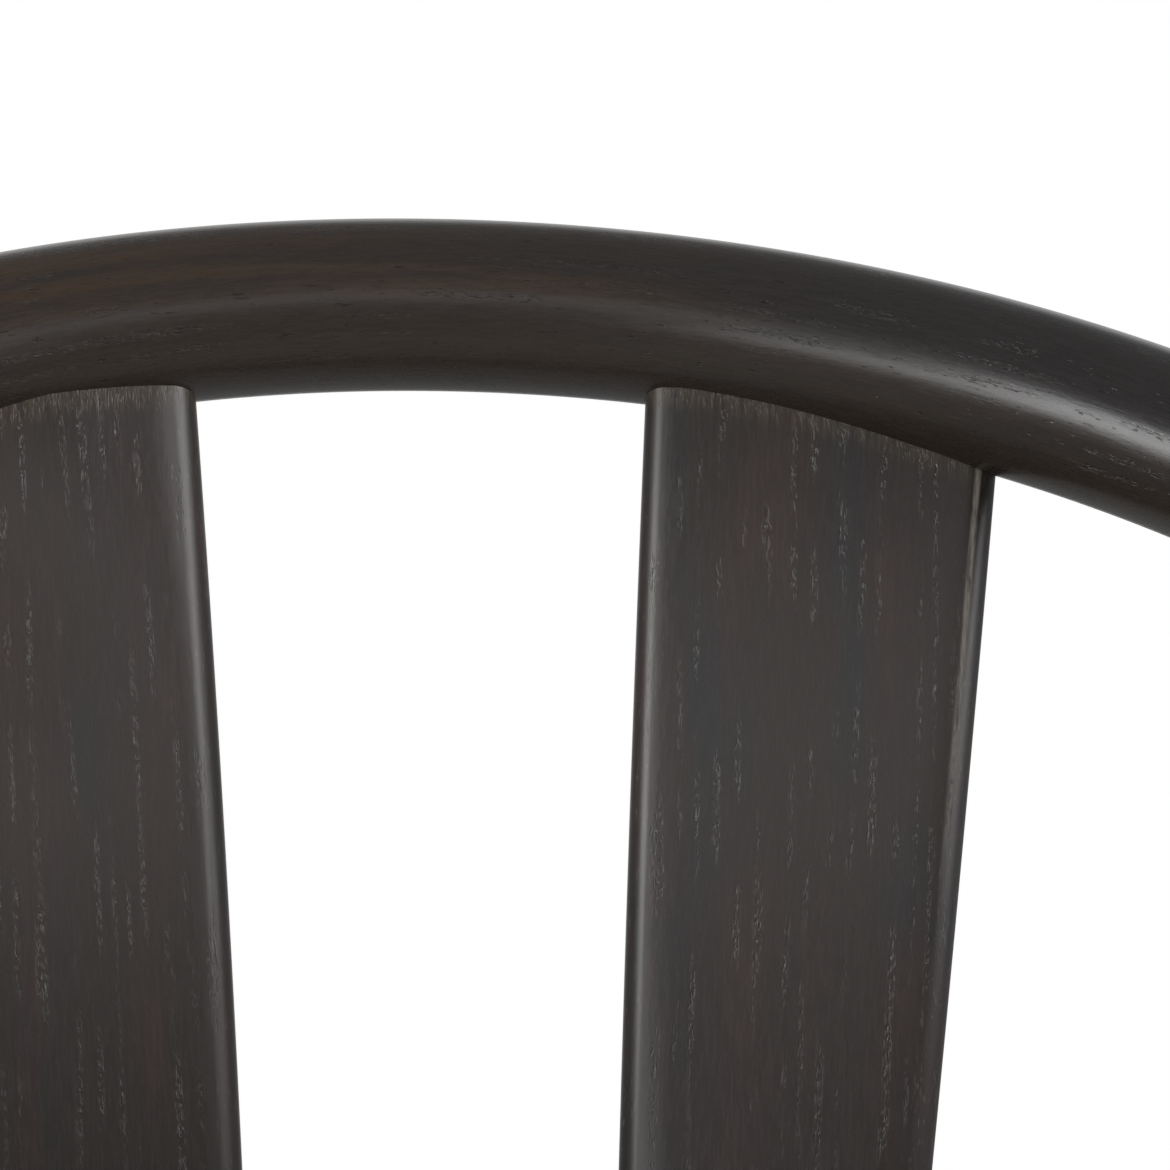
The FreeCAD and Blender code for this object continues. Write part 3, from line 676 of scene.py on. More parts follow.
def make_slat(name, node, side, inner_edge, outer_edge, turn):
    """Tapered board with eased long edges, bent and set under the rail on one side."""
    bm = bmesh.new()
    bmesh.ops.create_cube(bm, size=1.0)
    columns = len(inner_edge.columns()) + SLAT_MIDDLE_COLUMNS + len(outer_edge.columns())
    bmesh.ops.subdivide_edges(bm, edges=edges_along(bm, 0, CUBE_HALF), cuts=columns - 2, use_grid_fill=True)
    bmesh.ops.subdivide_edges(bm, edges=edges_along(bm, 2, CUBE_HALF), cuts=SLAT_ROWS, use_grid_fill=True)
    long_edges = edges_along(bm, 2, CUBE_HALF / SLAT_ROWS)
    inner_corners = [edge for edge in long_edges if edge.verts[0].co.x < -CUBE_NEAR_SIDE]
    outer_corners = [edge for edge in long_edges if edge.verts[0].co.x > CUBE_NEAR_SIDE]
    top = -SLAT_HIDDEN_TOP
    bottom = -SLAT_HEIGHT - SLAT_HIDDEN_FOOT
    for vertex in bm.verts:
        column = round((vertex.co.x + CUBE_HALF) * (columns - 1))
        vertex.co.z = bottom + (vertex.co.z + CUBE_HALF) * (top - bottom)
        vertex.co.x, depth = slat_column(column, slat_half_width(vertex.co.z), inner_edge, outer_edge)
        vertex.co.y = math.copysign(SLAT_THICKNESS / 2 - depth, vertex.co.y)
    bm.normal_update()
    for corners, edge in ((inner_corners, inner_edge), (outer_corners, outer_edge)):
        round_edges(bm, corners, edge.offset, SLAT_EDGE_SEGMENTS)
    piece = new_object(name, bm)
    start = side * SLAT_GRAIN
    store_grain(piece, lambda place: (place.z + start, place.x + place.z * math.tan(SLAT_LEAN), place.y))
    shares = [edge_share(vertex.co, inner_edge, outer_edge) for vertex in piece.data.vertices]
    piece.data.attributes.new("edge", "FLOAT", "POINT").data.foreach_set("value", shares)
    # Place of the painted highlight along the slat's outer edge
    store_vectors(piece, "arris", arris_place)
    for vertex in piece.data.vertices:
        vertex.co = bend_slat(vertex.co - Vector((0.0, turned_head(vertex.co, turn), 0.0)))
    piece.data.transform(Matrix.Translation(SLAT_ROOT) @ Matrix.Rotation(-SLAT_YAW, 4, "Z"))
    if side < 0:
        piece.data.transform(Matrix.Scale(-1.0, 4, (1, 0, 0)))
        piece.data.flip_normals()
    shade_smooth(piece, SMOOTH_ANGLE)
    finish_piece(piece, "stained_wood", WOOD, node)


make_slat("slat_right", "right_slat", 1, RIGHT_SLAT_INNER, SLAT_OUTER, 0.0)
make_slat("slat_left", "left_slat", -1, LEFT_SLAT_INNER, SLAT_OUTER, LEFT_SLAT_TURN)


# Legs

def leg_line(foot, head):
    """Matrix from a leg lying along Z to its place in the chair."""
    way = (head - foot).normalized()
    return Matrix.Translation(foot) @ way.to_track_quat("Z", "Y").to_matrix().to_4x4()


def leg_radius_arc(bm, start_radius, start, end_radius, end):
    """Points of a tapered stretch of a leg, a little fuller in its middle."""
    points = []
    for step in range(1, LEG_STEPS + 1):
        share = step / LEG_STEPS
        swell = LEG_SWELL * 4.0 * share * (1.0 - share)
        radius = start_radius + (end_radius - start_radius) * share + swell
        points.append(bm.verts.new((radius, 0.0, start + (end - start) * share)))
    return points


def make_leg(name, node, foot, head, head_radius, level_top, grain_place):
    """Turned leg, thickest at the seat frame, with its foot cut level over the glide and its rim eased."""
    bm = bmesh.new()
    length = (head - foot).length
    slope = length / (head.z - foot.z)
    low = (SEAT_FRAME_TOP - SEAT_RAIL_HEIGHT - LEG_COLLAR) * slope
    high = min((SEAT_FRAME_TOP + LEG_COLLAR) * slope, length)
    below = -2 * LEG_FOOT_RADIUS
    outline = [bm.verts.new((LEG_FOOT_RADIUS, 0.0, below)), bm.verts.new((LEG_FOOT_RADIUS, 0.0, 0.0))]
    outline += leg_radius_arc(bm, LEG_FOOT_RADIUS, 0.0, LEG_SEAT_RADIUS, low)
    outline.append(bm.verts.new((LEG_SEAT_RADIUS, 0.0, high)))
    if high < length:
        outline += leg_radius_arc(bm, LEG_SEAT_RADIUS, high, head_radius, length)
    for first, second in zip(outline, outline[1:]):
        bm.edges.new((first, second))
    bmesh.ops.spin(bm, geom=bm.verts[:] + bm.edges[:], cent=(0, 0, 0), axis=(0, 0, 1), angle=2 * math.pi,
                   steps=LEG_SIDES, use_merge=True)
    bmesh.ops.remove_doubles(bm, verts=bm.verts, dist=MERGE_DISTANCE)
    place = leg_line(foot, head)
    bmesh.ops.transform(bm, matrix=place, verts=bm.verts)
    cut = bmesh.ops.bisect_plane(bm, geom=all_of(bm), clear_inner=True, plane_co=(0, 0, GLIDE_HEIGHT),
                                 plane_no=(0, 0, 1))["geom_cut"]
    rim = edges_in(cut)
    if level_top:
        bmesh.ops.bisect_plane(bm, geom=all_of(bm), clear_outer=True, plane_co=(0, 0, SEAT_FRAME_TOP),
                               plane_no=(0, 0, 1))
    bmesh.ops.holes_fill(bm, edges=bm.edges)
    bmesh.ops.recalc_face_normals(bm, faces=bm.faces)
    round_edges(bm, rim, LEG_FOOT_EASE, LEG_EASE_SEGMENTS)
    piece = new_object(name, bm)
    back = place.inverted()

    def along_leg(point):
        local = back @ point
        return local.z + grain_place, local.x, local.y

    store_grain(piece, along_leg)
    shade_smooth(piece, SMOOTH_ANGLE)
    keep_flats_flat(piece)
    finish_piece(piece, "stained_wood", WOOD, node)


REAR_HEAD = hoop_point(REAR_LEG_HOOP_ANGLE)
slat_foot_local = bend_slat(Vector((0.0, 0.0, -SLAT_HEIGHT)))
SLAT_FOOT = SLAT_ROOT + Matrix.Rotation(-SLAT_YAW, 3, "Z") @ slat_foot_local
REAR_CORNER = Vector((REAR_LEG_SPREAD, SLAT_FOOT.y, SEAT_FRAME_TOP - SEAT_RAIL_HEIGHT / 2))
rear_way = REAR_HEAD - REAR_CORNER
REAR_FOOT = REAR_CORNER - rear_way * (REAR_CORNER.z / rear_way.z)
FRONT_CORNER = Vector((FRONT_LEG_SPREAD, pad_low.y + FRONT_LEG_SETBACK, REAR_CORNER.z))
FRONT_HEAD = Vector((FRONT_CORNER.x, FRONT_CORNER.y, SEAT_FRAME_TOP))
FRONT_FOOT = Vector((FRONT_CORNER.x + FRONT_SPLAY_OUT, FRONT_CORNER.y - FRONT_SPLAY_AHEAD, 0.0))
FRONT_TOP = FRONT_HEAD + (FRONT_HEAD - FRONT_FOOT).normalized() * LEG_COLLAR

for side, side_name in ((1, "right"), (-1, "left")):
    flip = Matrix.Diagonal((side, 1, 1))
    make_leg("leg_rear_" + side_name, "rear_leg_" + side_name, flip @ REAR_FOOT, flip @ REAR_HEAD,
             REAR_LEG_TOP_RADIUS, False, REAR_LEG_GRAIN + side)
    make_leg("leg_front_" + side_name, "front_leg_" + side_name, flip @ FRONT_FOOT, flip @ FRONT_TOP,
             LEG_SEAT_RADIUS, True, FRONT_LEG_GRAIN + side)


# Seat frame

CLEAT_END_DEPTH = 1e-4


def merged_copy(node):
    """Copy of a CAD solid with its loose triangles joined up."""
    bm = bmesh.new()
    bm.from_mesh(nodes[node].data)
    bmesh.ops.remove_doubles(bm, verts=bm.verts, dist=MERGE_DISTANCE)
    return bm


def finish_frame_piece(name, node, bm, along_x, grain_place):
    """Stained piece of the seat frame with its grain along its length."""
    piece = new_object(name, bm)
    if along_x:
        store_grain(piece, lambda point: (point.x + grain_place, point.y, point.z))
    else:
        store_grain(piece, lambda point: (point.y + grain_place, point.x, point.z))
    shade_smooth(piece, FRAME_SMOOTH_ANGLE)
    keep_flats_flat(piece)
    finish_piece(piece, "stained_wood", WOOD, node)


def make_slat_cleat():
    """Batten behind the pad, its ends sloped beside the corner blocks so that no gap shows there."""
    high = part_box("rear_cleat")[1]
    bm = merged_copy("rear_cleat")
    for vertex in bm.verts:
        if abs(vertex.co.x) > high.x - CLEAT_END_DEPTH:
            vertex.co.x += math.copysign(high.y - vertex.co.y, vertex.co.x)
    finish_frame_piece("slat_cleat", "rear_cleat", bm, True, CLEAT_GRAIN)


FRAME_PIECES = (
    ("front_frame_rail", "front_seat_rail", True), ("rear_frame_rail", "rear_seat_rail", True),
    ("left_frame_rail", "left_seat_rail", False), ("right_frame_rail", "right_seat_rail", False),
    ("block_front_left", "front_left_block", True), ("block_front_right", "front_right_block", True),
    ("block_rear_left", "rear_left_block", True), ("block_rear_right", "rear_right_block", True))

for number, (name, node, along_x) in enumerate(FRAME_PIECES):
    finish_frame_piece(name, node, merged_copy(node), along_x, FRAME_GRAIN + number * FRAME_GRAIN_STEP)
make_slat_cleat()


# Finishes of the pieces under the seat

BEECH_DARK = (0.43, 0.27, 0.145, 1.0)
BEECH_LIGHT = (0.53, 0.36, 0.21, 1.0)
BEECH_FLECK = (0.27, 0.15, 0.075, 1.0)
BEECH_FLECK_SHARE = 0.45
BEECH_FLECK_RANGE = (0.60, 0.72)
BEECH_FIGURE_SCALE = (14.0, 90.0, 90.0)
BEECH_FLECK_SCALE = (160.0, 900.0, 900.0)
ZINC_DULL = (0.46, 0.46, 0.44, 1.0)
ZINC_BRIGHT = (0.62, 0.62, 0.60, 1.0)
ZINC_SCALE = (420.0, 420.0, 420.0)
VENEER_DARK = (0.46, 0.33, 0.19, 1.0)
VENEER_LIGHT = (0.60, 0.46, 0.29, 1.0)
VENEER_SCALE = (10.0, 70.0, 800.0)
FIGURE_RANGE = (0.3, 0.7)
PLY_DARK = (0.34, 0.22, 0.12, 1.0)
PLY_LIGHT = (0.55, 0.41, 0.26, 1.0)
PLY_SCALE = 130.0
PLY_RANGE = (0.35, 0.65)
PLY_FACE_RANGE = (0.4, 0.6)
PLY_ROUGHNESS = 0.7
PLASTIC_BLACK = (0.012, 0.012, 0.013, 1.0)
PLASTIC_GREY = (0.035, 0.035, 0.036, 1.0)
PLASTIC_SCALE = (900.0, 900.0, 900.0)
PLASTIC_RANGE = (0.45, 0.75)
BEECH_BUMP = 0.15
VENEER_BUMP = 0.2
PLASTIC_BUMP = 0.1
SMALL_RELIEF = 0.0001
VENEER_RELIEF = 0.0002

# Limits of the noise that stand for a roughness of 0 and of 1
BEECH_ROUGHNESS = (-0.9, 2.2)
ZINC_ROUGHNESS = (-0.6, 2.2)
PLASTIC_ROUGHNESS = (-0.3, 1.6)


def plain_wood():
    """Unstained beech of the dowels."""
    wood = new_paint("plain wood")
    figure = wood.noise(wood.stretched(wood.coordinates(), BEECH_FIGURE_SCALE), detail=4.0, distortion=0.6)
    flecks = wood.noise(wood.stretched(wood.coordinates(), BEECH_FLECK_SCALE))
    colour = wood.mix(wood.ramp(figure, *FIGURE_RANGE), BEECH_DARK, BEECH_LIGHT)
    fleck_mask = wood.times(wood.ramp(flecks, *BEECH_FLECK_RANGE), BEECH_FLECK_SHARE)
    colour = wood.mix(fleck_mask, colour, BEECH_FLECK)
    return wood.surface({"Base Color": colour, "Roughness": wood.ramp(figure, *BEECH_ROUGHNESS),
                         "Normal": wood.bump(flecks, BEECH_BUMP, SMALL_RELIEF)})


def zinc_steel():
    """Zinc-plated steel with a fine cloudy grain."""
    steel = new_paint("zinc steel")
    clouds = steel.noise(steel.stretched(steel.coordinates(), ZINC_SCALE), detail=4.0)
    return steel.surface({"Base Color": steel.mix(clouds, ZINC_DULL, ZINC_BRIGHT), "Metallic": 1.0,
                          "Roughness": steel.ramp(clouds, *ZINC_ROUGHNESS)})


def plywood():
    """Plywood: pale veneer faces and alternating plies along its edges."""
    ply = new_paint("plywood")
    veneer = ply.noise(ply.stretched(ply.coordinates(), VENEER_SCALE), detail=4.0, distortion=0.8)
    face = ply.mix(ply.ramp(veneer, *FIGURE_RANGE), VENEER_DARK, VENEER_LIGHT)
    plies = ply.add("ShaderNodeTexWave", "Fac", {"Vector": ply.coordinates(), "Scale": PLY_SCALE},
                    bands_direction="Z")
    stripes = ply.mix(ply.ramp(plies, *PLY_RANGE), PLY_DARK, PLY_LIGHT)
    upright = ply.math("ABSOLUTE", ply.parts(ply.coordinates("Normal"))["Z"])
    colour = ply.mix(ply.ramp(upright, *PLY_FACE_RANGE), stripes, face)
    return ply.surface({"Base Color": colour, "Roughness": PLY_ROUGHNESS,
                        "Normal": ply.bump(veneer, VENEER_BUMP, VENEER_RELIEF)})


def glide_plastic():
    """Moulded black plastic with a fine grey speckle."""
    plastic = new_paint("glide plastic")
    speckle = plastic.noise(plastic.stretched(plastic.coordinates(), PLASTIC_SCALE), detail=3.0)
    colour = plastic.mix(plastic.ramp(speckle, *PLASTIC_RANGE), PLASTIC_BLACK, PLASTIC_GREY)
    return plastic.surface({"Base Color": colour, "Roughness": plastic.ramp(speckle, *PLASTIC_ROUGHNESS),
                            "Normal": plastic.bump(speckle, PLASTIC_BUMP, SMALL_RELIEF)})


def dress(material, *names):
    """Gives CAD nodes that keep their shape their finish."""
    for name in names:
        nodes[name].data.materials.clear()
        nodes[name].data.materials.append(material)


dress(plain_wood(), "frame_dowels")
dress(zinc_steel(), "wood_screws", "seat_bolts", "bolt_washers", "tee_nuts")
dress(plywood(), "seat_board")
dress(glide_plastic(), "foot_glides")


# Cloth

SEAT_FABRIC_DARK = (0.240, 0.212, 0.178, 1.0)
SEAT_FABRIC_LIGHT = (0.660, 0.605, 0.530, 1.0)
SEAT_FABRIC_PITCH = 0.0022
SEAT_FABRIC_RELIEF = 0.0006
SEAT_FABRIC_SHEEN = 0.12
DUST_CLOTH_DARK = (0.012, 0.012, 0.012, 1.0)
DUST_CLOTH_LIGHT = (0.03, 0.03, 0.03, 1.0)
DUST_CLOTH_PITCH = 0.0008
DUST_CLOTH_RELIEF = 0.0001
CLOTH_ROUGHNESS = 0.9
CLOTH_GLOSS = 0.25
CLOTH_BUMP = 0.7
SHEEN_ROUGHNESS = 0.5
THREAD_DRIFT = 0.5
THREAD_DRIFT_SCALE = 90.0
THREAD_CROSSING = (-0.08, 0.08)
THREAD_SHADE_RANGE = (0.1, 0.9)
YARN_RANGE = (0.22, 0.74)
YARN_ALONG = 22.0
YARN_ACROSS = 0.8


def weave(name, dark, light, pitch, relief, sheen):
    """Plain-woven cloth: threads over and under each other, with uneven yarn and painted shade between the
    threads.
    """
    cloth = new_paint(name)
    source = cloth.attribute("weave")
    drift = cloth.add("ShaderNodeTexNoise", "Color", {"Vector": source, "Scale": THREAD_DRIFT_SCALE})
    shift = {0: drift, 1: (pitch * THREAD_DRIFT,) * 3, 2: source}
    place = cloth.parts(cloth.add("ShaderNodeVectorMath", "Vector", shift, operation="MULTIPLY_ADD"))
    warp = cloth.math("SINE", cloth.times(place["X"], math.pi / pitch))
    weft = cloth.math("SINE", cloth.times(place["Y"], math.pi / pitch))
    over = cloth.ramp(cloth.times(warp, weft), *THREAD_CROSSING)
    under = cloth.rest(over)
    warp_part = cloth.times(cloth.math("ABSOLUTE", warp), over)
    weft_part = cloth.times(cloth.math("ABSOLUTE", weft), under)
    threads = cloth.math("ADD", warp_part, weft_part)
    warp_yarn = cloth.noise(cloth.stretched(source, (YARN_ACROSS / pitch, YARN_ALONG, 1.0)))
    weft_yarn = cloth.noise(cloth.stretched(source, (YARN_ALONG, YARN_ACROSS / pitch, 1.0)))
    yarn = cloth.math("ADD", cloth.times(warp_yarn, over), cloth.times(weft_yarn, under))
    # Threads lighter on their crowns and darker where they dip, a painted shade, times the yarn's own
    # uneven tone
    tone = cloth.times(cloth.ramp(threads, *THREAD_SHADE_RANGE), cloth.ramp(yarn, *YARN_RANGE))
    return cloth.surface({"Base Color": cloth.mix(tone, dark, light), "Roughness": CLOTH_ROUGHNESS,
                          "Sheen Weight": sheen, "Sheen Roughness": SHEEN_ROUGHNESS,
                          "Specular IOR Level": CLOTH_GLOSS,
                          "Normal": cloth.bump(threads, CLOTH_BUMP, relief)})


SEAT_FABRIC = weave("seat fabric", SEAT_FABRIC_DARK, SEAT_FABRIC_LIGHT, SEAT_FABRIC_PITCH,
                    SEAT_FABRIC_RELIEF, SEAT_FABRIC_SHEEN)
DUST_CLOTH = weave("dust cloth", DUST_CLOTH_DARK, DUST_CLOTH_LIGHT, DUST_CLOTH_PITCH,
                   DUST_CLOTH_RELIEF, sheen=0.0)


# Seat pad

OUTLINE_BLOCK_HEIGHT = 0.01
WELT_RAY_START = 0.05


def pad_block(inset, bottom, top):
    """Block with the pad's rounded outline between two heights."""
    bm = bmesh.new()
    bmesh.ops.create_cube(bm, size=1.0)
    for vertex in bm.verts:
        front = vertex.co.y < 0
        half = (PAD_HALF_FRONT if front else PAD_HALF_BACK) - inset
        vertex.co.x = math.copysign(half, vertex.co.x)
        vertex.co.y = pad_low.y + inset if front else pad_high.y - inset
        vertex.co.z = bottom if vertex.co.z < 0 else top
    bm.normal_update()
    upright = edges_along(bm, 2, (top - bottom) / 2)
    front_corners = [edge for edge in upright if edge.verts[0].co.y < 0]
    back_corners = [edge for edge in upright if edge.verts[0].co.y > 0]
    for corners, radius in ((front_corners, PAD_FRONT_CORNER), (back_corners, PAD_BACK_CORNER)):
        round_edges(bm, corners, radius - inset, PAD_CORNER_SEGMENTS)
    return bm


def rim_edges(bm, height):
    """Edges that lie at one height around a block."""
    return [edge for edge in bm.edges
            if all(abs(vertex.co.z - height) < MERGE_DISTANCE for vertex in edge.verts)]


class PadOutline:
    """The pad's outline as a closed run of points, for lengths around it."""

    def __init__(self, inset):
        bm = pad_block(inset, 0.0, OUTLINE_BLOCK_HEIGHT)
        middle = Vector((0.0, (pad_low.y + pad_high.y) / 2, 0.0))
        low = [vertex.co.copy() for vertex in bm.verts if vertex.co.z < OUTLINE_BLOCK_HEIGHT / 2]
        bm.free()
        low.sort(key=lambda point: math.atan2(point.y - middle.y, point.x))
        self.middle = middle
        self.points = []
        for first, second in zip(low, low[1:] + low[:1]):
            steps = max(1, round((second - first).length / PAD_OUTLINE_STEP))
            self.points += [first.lerp(second, step / steps) for step in range(steps)]
        self.lengths = [0.0]
        for first, second in zip(self.points, self.points[1:]):
            self.lengths.append(self.lengths[-1] + (second - first).length)
        self.tree = KDTree(len(self.points))
        for index, point in enumerate(self.points):
            self.tree.insert(point, index)
        self.tree.balance()

    def length_at(self, point):
        """Length around the outline at the place nearest to a point."""
        flat = Vector((point.x, point.y, 0.0))
        nearest, index = self.tree.find(flat)[:2]
        after = self.points[(index + 1) % len(self.points)]
        way = (after - nearest).normalized()
        return self.lengths[index] + (flat - nearest).dot(way)


def remeshed(piece, voxel):
    """Mesh of a piece with even quads of one size."""
    remesh = piece.modifiers.new("even quads", "REMESH")
    remesh.mode = "VOXEL"
    remesh.voxel_size = voxel
    graph = bpy.context.evaluated_depsgraph_get()
    mesh = bpy.data.meshes.new_from_object(piece.evaluated_get(graph))
    piece.modifiers.clear()
    old = piece.data
    piece.data = mesh
    bpy.data.meshes.remove(old)


def swell(piece, pressure, cap, is_held):
    """Puffs a closed cloth form up by a short simulation, and caps how far any point moves."""
    held = piece.vertex_groups.new(name="held")
    held.add([vertex.index for vertex in piece.data.vertices if is_held(vertex.co)], 1.0, "REPLACE")
    cloth = piece.modifiers.new("swell", "CLOTH")
    cloth.settings.use_pressure = True
    cloth.settings.uniform_pressure_force = pressure
    cloth.settings.effector_weights.gravity = 0.0
    cloth.settings.vertex_group_mass = held.name
    cloth.settings.quality = SWELL_QUALITY
    cloth.point_cache.frame_start = 1
    cloth.point_cache.frame_end = SWELL_FRAMES
    scene = bpy.context.scene
    for frame_number in range(1, SWELL_FRAMES + 1):
        scene.frame_set(frame_number)
    graph = bpy.context.evaluated_depsgraph_get()
    swollen = [vertex.co.copy() for vertex in piece.evaluated_get(graph).data.vertices]
    piece.modifiers.clear()
    scene.frame_set(1)
    for vertex, target in zip(piece.data.vertices, swollen):
        move = target - vertex.co
        if move.length > cap:
            move = move * (cap / move.length)
        vertex.co = vertex.co + move
    piece.vertex_groups.clear()


def store_weave(piece, outline, welt_height):
    """Keeps each face's place in the cloth: the top lies flat, the side band runs around the pad."""
    mesh = piece.data
    around = [outline.length_at(vertex.co) for vertex in mesh.vertices]
    girth = outline.lengths[-1]
    places = []
    for face in mesh.polygons:
        lengths = [around[index] for index in face.vertices]
        if max(lengths) - min(lengths) > girth / 2:
            lengths = [length + girth if length < girth / 2 else length for length in lengths]
        for index, length in zip(face.vertices, lengths):
            point = mesh.vertices[index].co
            places += [point.x, point.y, 0.0] if face.center.z > welt_height else [length, point.z, 0.0]
    mesh.attributes.new("weave", "FLOAT_VECTOR", "CORNER").data.foreach_set("vector", places)


def crown_pad(piece, bottom):
    """Raises the middle of the pad's top."""
    top = bottom + PAD_SIDE_HEIGHT
    middle_y = (pad_low.y + pad_high.y) / 2
    half_y = (pad_high.y - pad_low.y) / 2
    for vertex in piece.data.vertices:
        point = vertex.co
        across = min(1.0, abs(point.x) / PAD_HALF_FRONT)
        along = min(1.0, abs(point.y - middle_y) / half_y)
        height = clamp((point.z - bottom) / (top - bottom))
        point.z += PAD_CROWN * height ** 2 * (1.0 - across ** 2) * (1.0 - along ** 2)


def make_seat_pad():
    """Crowned pad in woven cloth, puffed out by simulation, with a welt where top and side band meet."""
    bottom = pad_low.z
    top = bottom + PAD_SIDE_HEIGHT
    bm = pad_block(PAD_START_INSET, bottom, top)
    for height, radius in ((top, PAD_SHOULDER), (bottom, PAD_DRAW)):
        round_edges(bm, rim_edges(bm, height), radius, PAD_EDGE_SEGMENTS)
    pad = new_object("seat_pad", bm)
    remeshed(pad, PAD_VOXEL)
    crown_pad(pad, bottom)
    swell(pad, PAD_PRESSURE, PAD_SWELL_CAP, lambda point: point.z < bottom + PAD_HELD_HEIGHT)
    for vertex in pad.data.vertices:
        vertex.co.z = max(vertex.co.z, bottom)
    outline = PadOutline(0.0)
    welt_height = bottom + WELT_HEIGHT
    store_weave(pad, outline, welt_height)
    make_welt(pad, outline, welt_height)
    pad.data.shade_smooth()
    finer = pad.modifiers.new("finer cloth", "SUBSURF")
    finer.levels = 1
    finer.render_levels = 1
    finish_piece(pad, "seat_fabric", SEAT_FABRIC, "seat_cover", "seat_foam")


def make_welt(pad, outline, height):
    """Covered cord sewn in where the pad's top meets its side band."""
    path = []
    for point in outline.points:
        start = Vector((point.x, point.y, height))
        inwards = (outline.middle - point).normalized()
        place, normal = pad.ray_cast(start - inwards * WELT_RAY_START, inwards)[1:3]
        path.append(place + normal * (WELT_RADIUS * WELT_PROUD))
    line = bpy.data.curves.new("welt line", "CURVE")
    line.dimensions = "3D"
    line.bevel_depth = WELT_RADIUS
    line.bevel_resolution = WELT_RESOLUTION
    spline = line.splines.new("POLY")
    spline.points.add(len(path) - 1)
    for target, place in zip(spline.points, path):
        target.co = (*place, 1.0)
    spline.use_cyclic_u = True
    holder = bpy.data.objects.new("welt line", line)
    bpy.context.scene.collection.objects.link(holder)
    graph = bpy.context.evaluated_depsgraph_get()
    mesh = bpy.data.meshes.new_from_object(holder.evaluated_get(graph))
    bpy.data.objects.remove(holder)
    mesh.name = "seat_welt"
    welt = bpy.data.objects.new("seat_welt", mesh)
    bpy.context.scene.collection.objects.link(welt)
    store_weave(welt, outline, height + OUT_OF_REACH)
    welt.data.shade_smooth()
    finish_piece(welt, "seat_fabric", SEAT_FABRIC)


make_seat_pad()


# Dust cover under the seat board

def make_dust_cover():
    """Thin black cloth stretched flat under the board."""
    low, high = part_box("dust_cover")
    inset = pad_high.y - high.y
    bm = pad_block(inset, 0.0, OUTLINE_BLOCK_HEIGHT)
    lower_faces = [face for face in bm.faces if face.normal.z < 0.5]
    bmesh.ops.delete(bm, geom=lower_faces, context="FACES")
    bmesh.ops.triangulate(bm, faces=bm.faces)
    sheet_area = sum(face.calc_area() for face in bm.faces)
    bmesh.ops.translate(bm, verts=bm.verts, vec=(0, 0, high.z - OUTLINE_BLOCK_HEIGHT - DUST_CLOTH_GAP))
    cloth = new_object("dust_cloth", bm)
    store_vectors(cloth, "weave", lambda place: (place.x, place.y, 0.0))
    finish_piece(cloth, "dust_cloth", DUST_CLOTH, "dust_cover")


make_dust_cover()


# Camera, set from where the middle of the rail's back lies in the photograph's square frame

PHOTO_SIZE = 1170.0
FOCAL_PIXELS = 4417.0
AIM_PIXEL = (417.7, 304.9)
CAMERA_DISTANCE = 0.9
CAMERA_AZIMUTH = math.radians(-5.81)
CAMERA_ELEVATION = math.radians(5.0)
CAMERA_ROLL = math.radians(0.88)
SENSOR_WIDTH = 36.0


def make_camera():
    """Camera in front of the back, a little to its left and above it."""
    data = bpy.data.cameras.new("camera")
    data.sensor_width = SENSOR_WIDTH
    data.lens = SENSOR_WIDTH * FOCAL_PIXELS / PHOTO_SIZE
    back = Vector((math.sin(CAMERA_AZIMUTH) * math.cos(CAMERA_ELEVATION),
                   -math.cos(CAMERA_AZIMUTH) * math.cos(CAMERA_ELEVATION), math.sin(CAMERA_ELEVATION)))
    right = (-back).cross(Vector((0, 0, 1))).normalized()
    up = right.cross(-back)
    level = Matrix((right, up, back)).transposed()
    rolled = level @ Matrix.Rotation(CAMERA_ROLL, 3, "Z")
    half = PHOTO_SIZE / 2
    aim = Vector(((AIM_PIXEL[0] - half) / FOCAL_PIXELS, (half - AIM_PIXEL[1]) / FOCAL_PIXELS, -1.0))
    off_axis = aim.rotation_difference(Vector((0, 0, -1))).to_matrix()
    camera = bpy.data.objects.new("camera", data)
    place = Matrix.Translation(RAIL_BACK + back * CAMERA_DISTANCE)
    camera.matrix_world = place @ (rolled @ off_axis).to_4x4()
    bpy.context.scene.collection.objects.link(camera)
    bpy.context.scene.camera = camera


make_camera()


# Studio: softboxes on both sides and overhead, a strip light in front, a pale floor and a white surround

# Each light's name, azimuth and elevation in degrees, distance, width and height in metres, and radiance
SOFTBOXES = (
    ("softbox left", -52.0, 11.5, 0.8, 0.50, 0.32, 10.6),
    ("softbox left fill", -31.0, 0.0, 2.5, 1.2, 0.46, 4.6),
    ("softbox right", 70.0, 12.5, 0.9, 0.66, 0.50, 7.5),
    ("strip light front", 6.0, 17.6, 1.5, 1.7, 0.24, 1.32))
OVERHEAD = ("softbox overhead", 0.0, 80.0, 1.9, 2.0, 2.0, 0.35)
AMBIENT_LIGHT = 0.42
DIM_STUDIO = 0.25

# Parts of a direction between which the white backdrop ends in reflections
BACKDROP_ASIDE = (0.35, 0.65)
BACKDROP_ABOVE = (0.28, 0.62)
BACKDROP_BEHIND = (0.05, 0.35)

FLOOR_RADIUS = 2.2
FLOOR_FADE = (0.45, 0.95)
FLOOR_LIFT = 0.6
FLOOR_ROUGHNESS = 0.9
FLOOR_COLOUR = (0.75, 0.75, 0.74, 1.0)
FLOOR_MIRRORED = (0.48, 0.48, 0.48, 1.0)


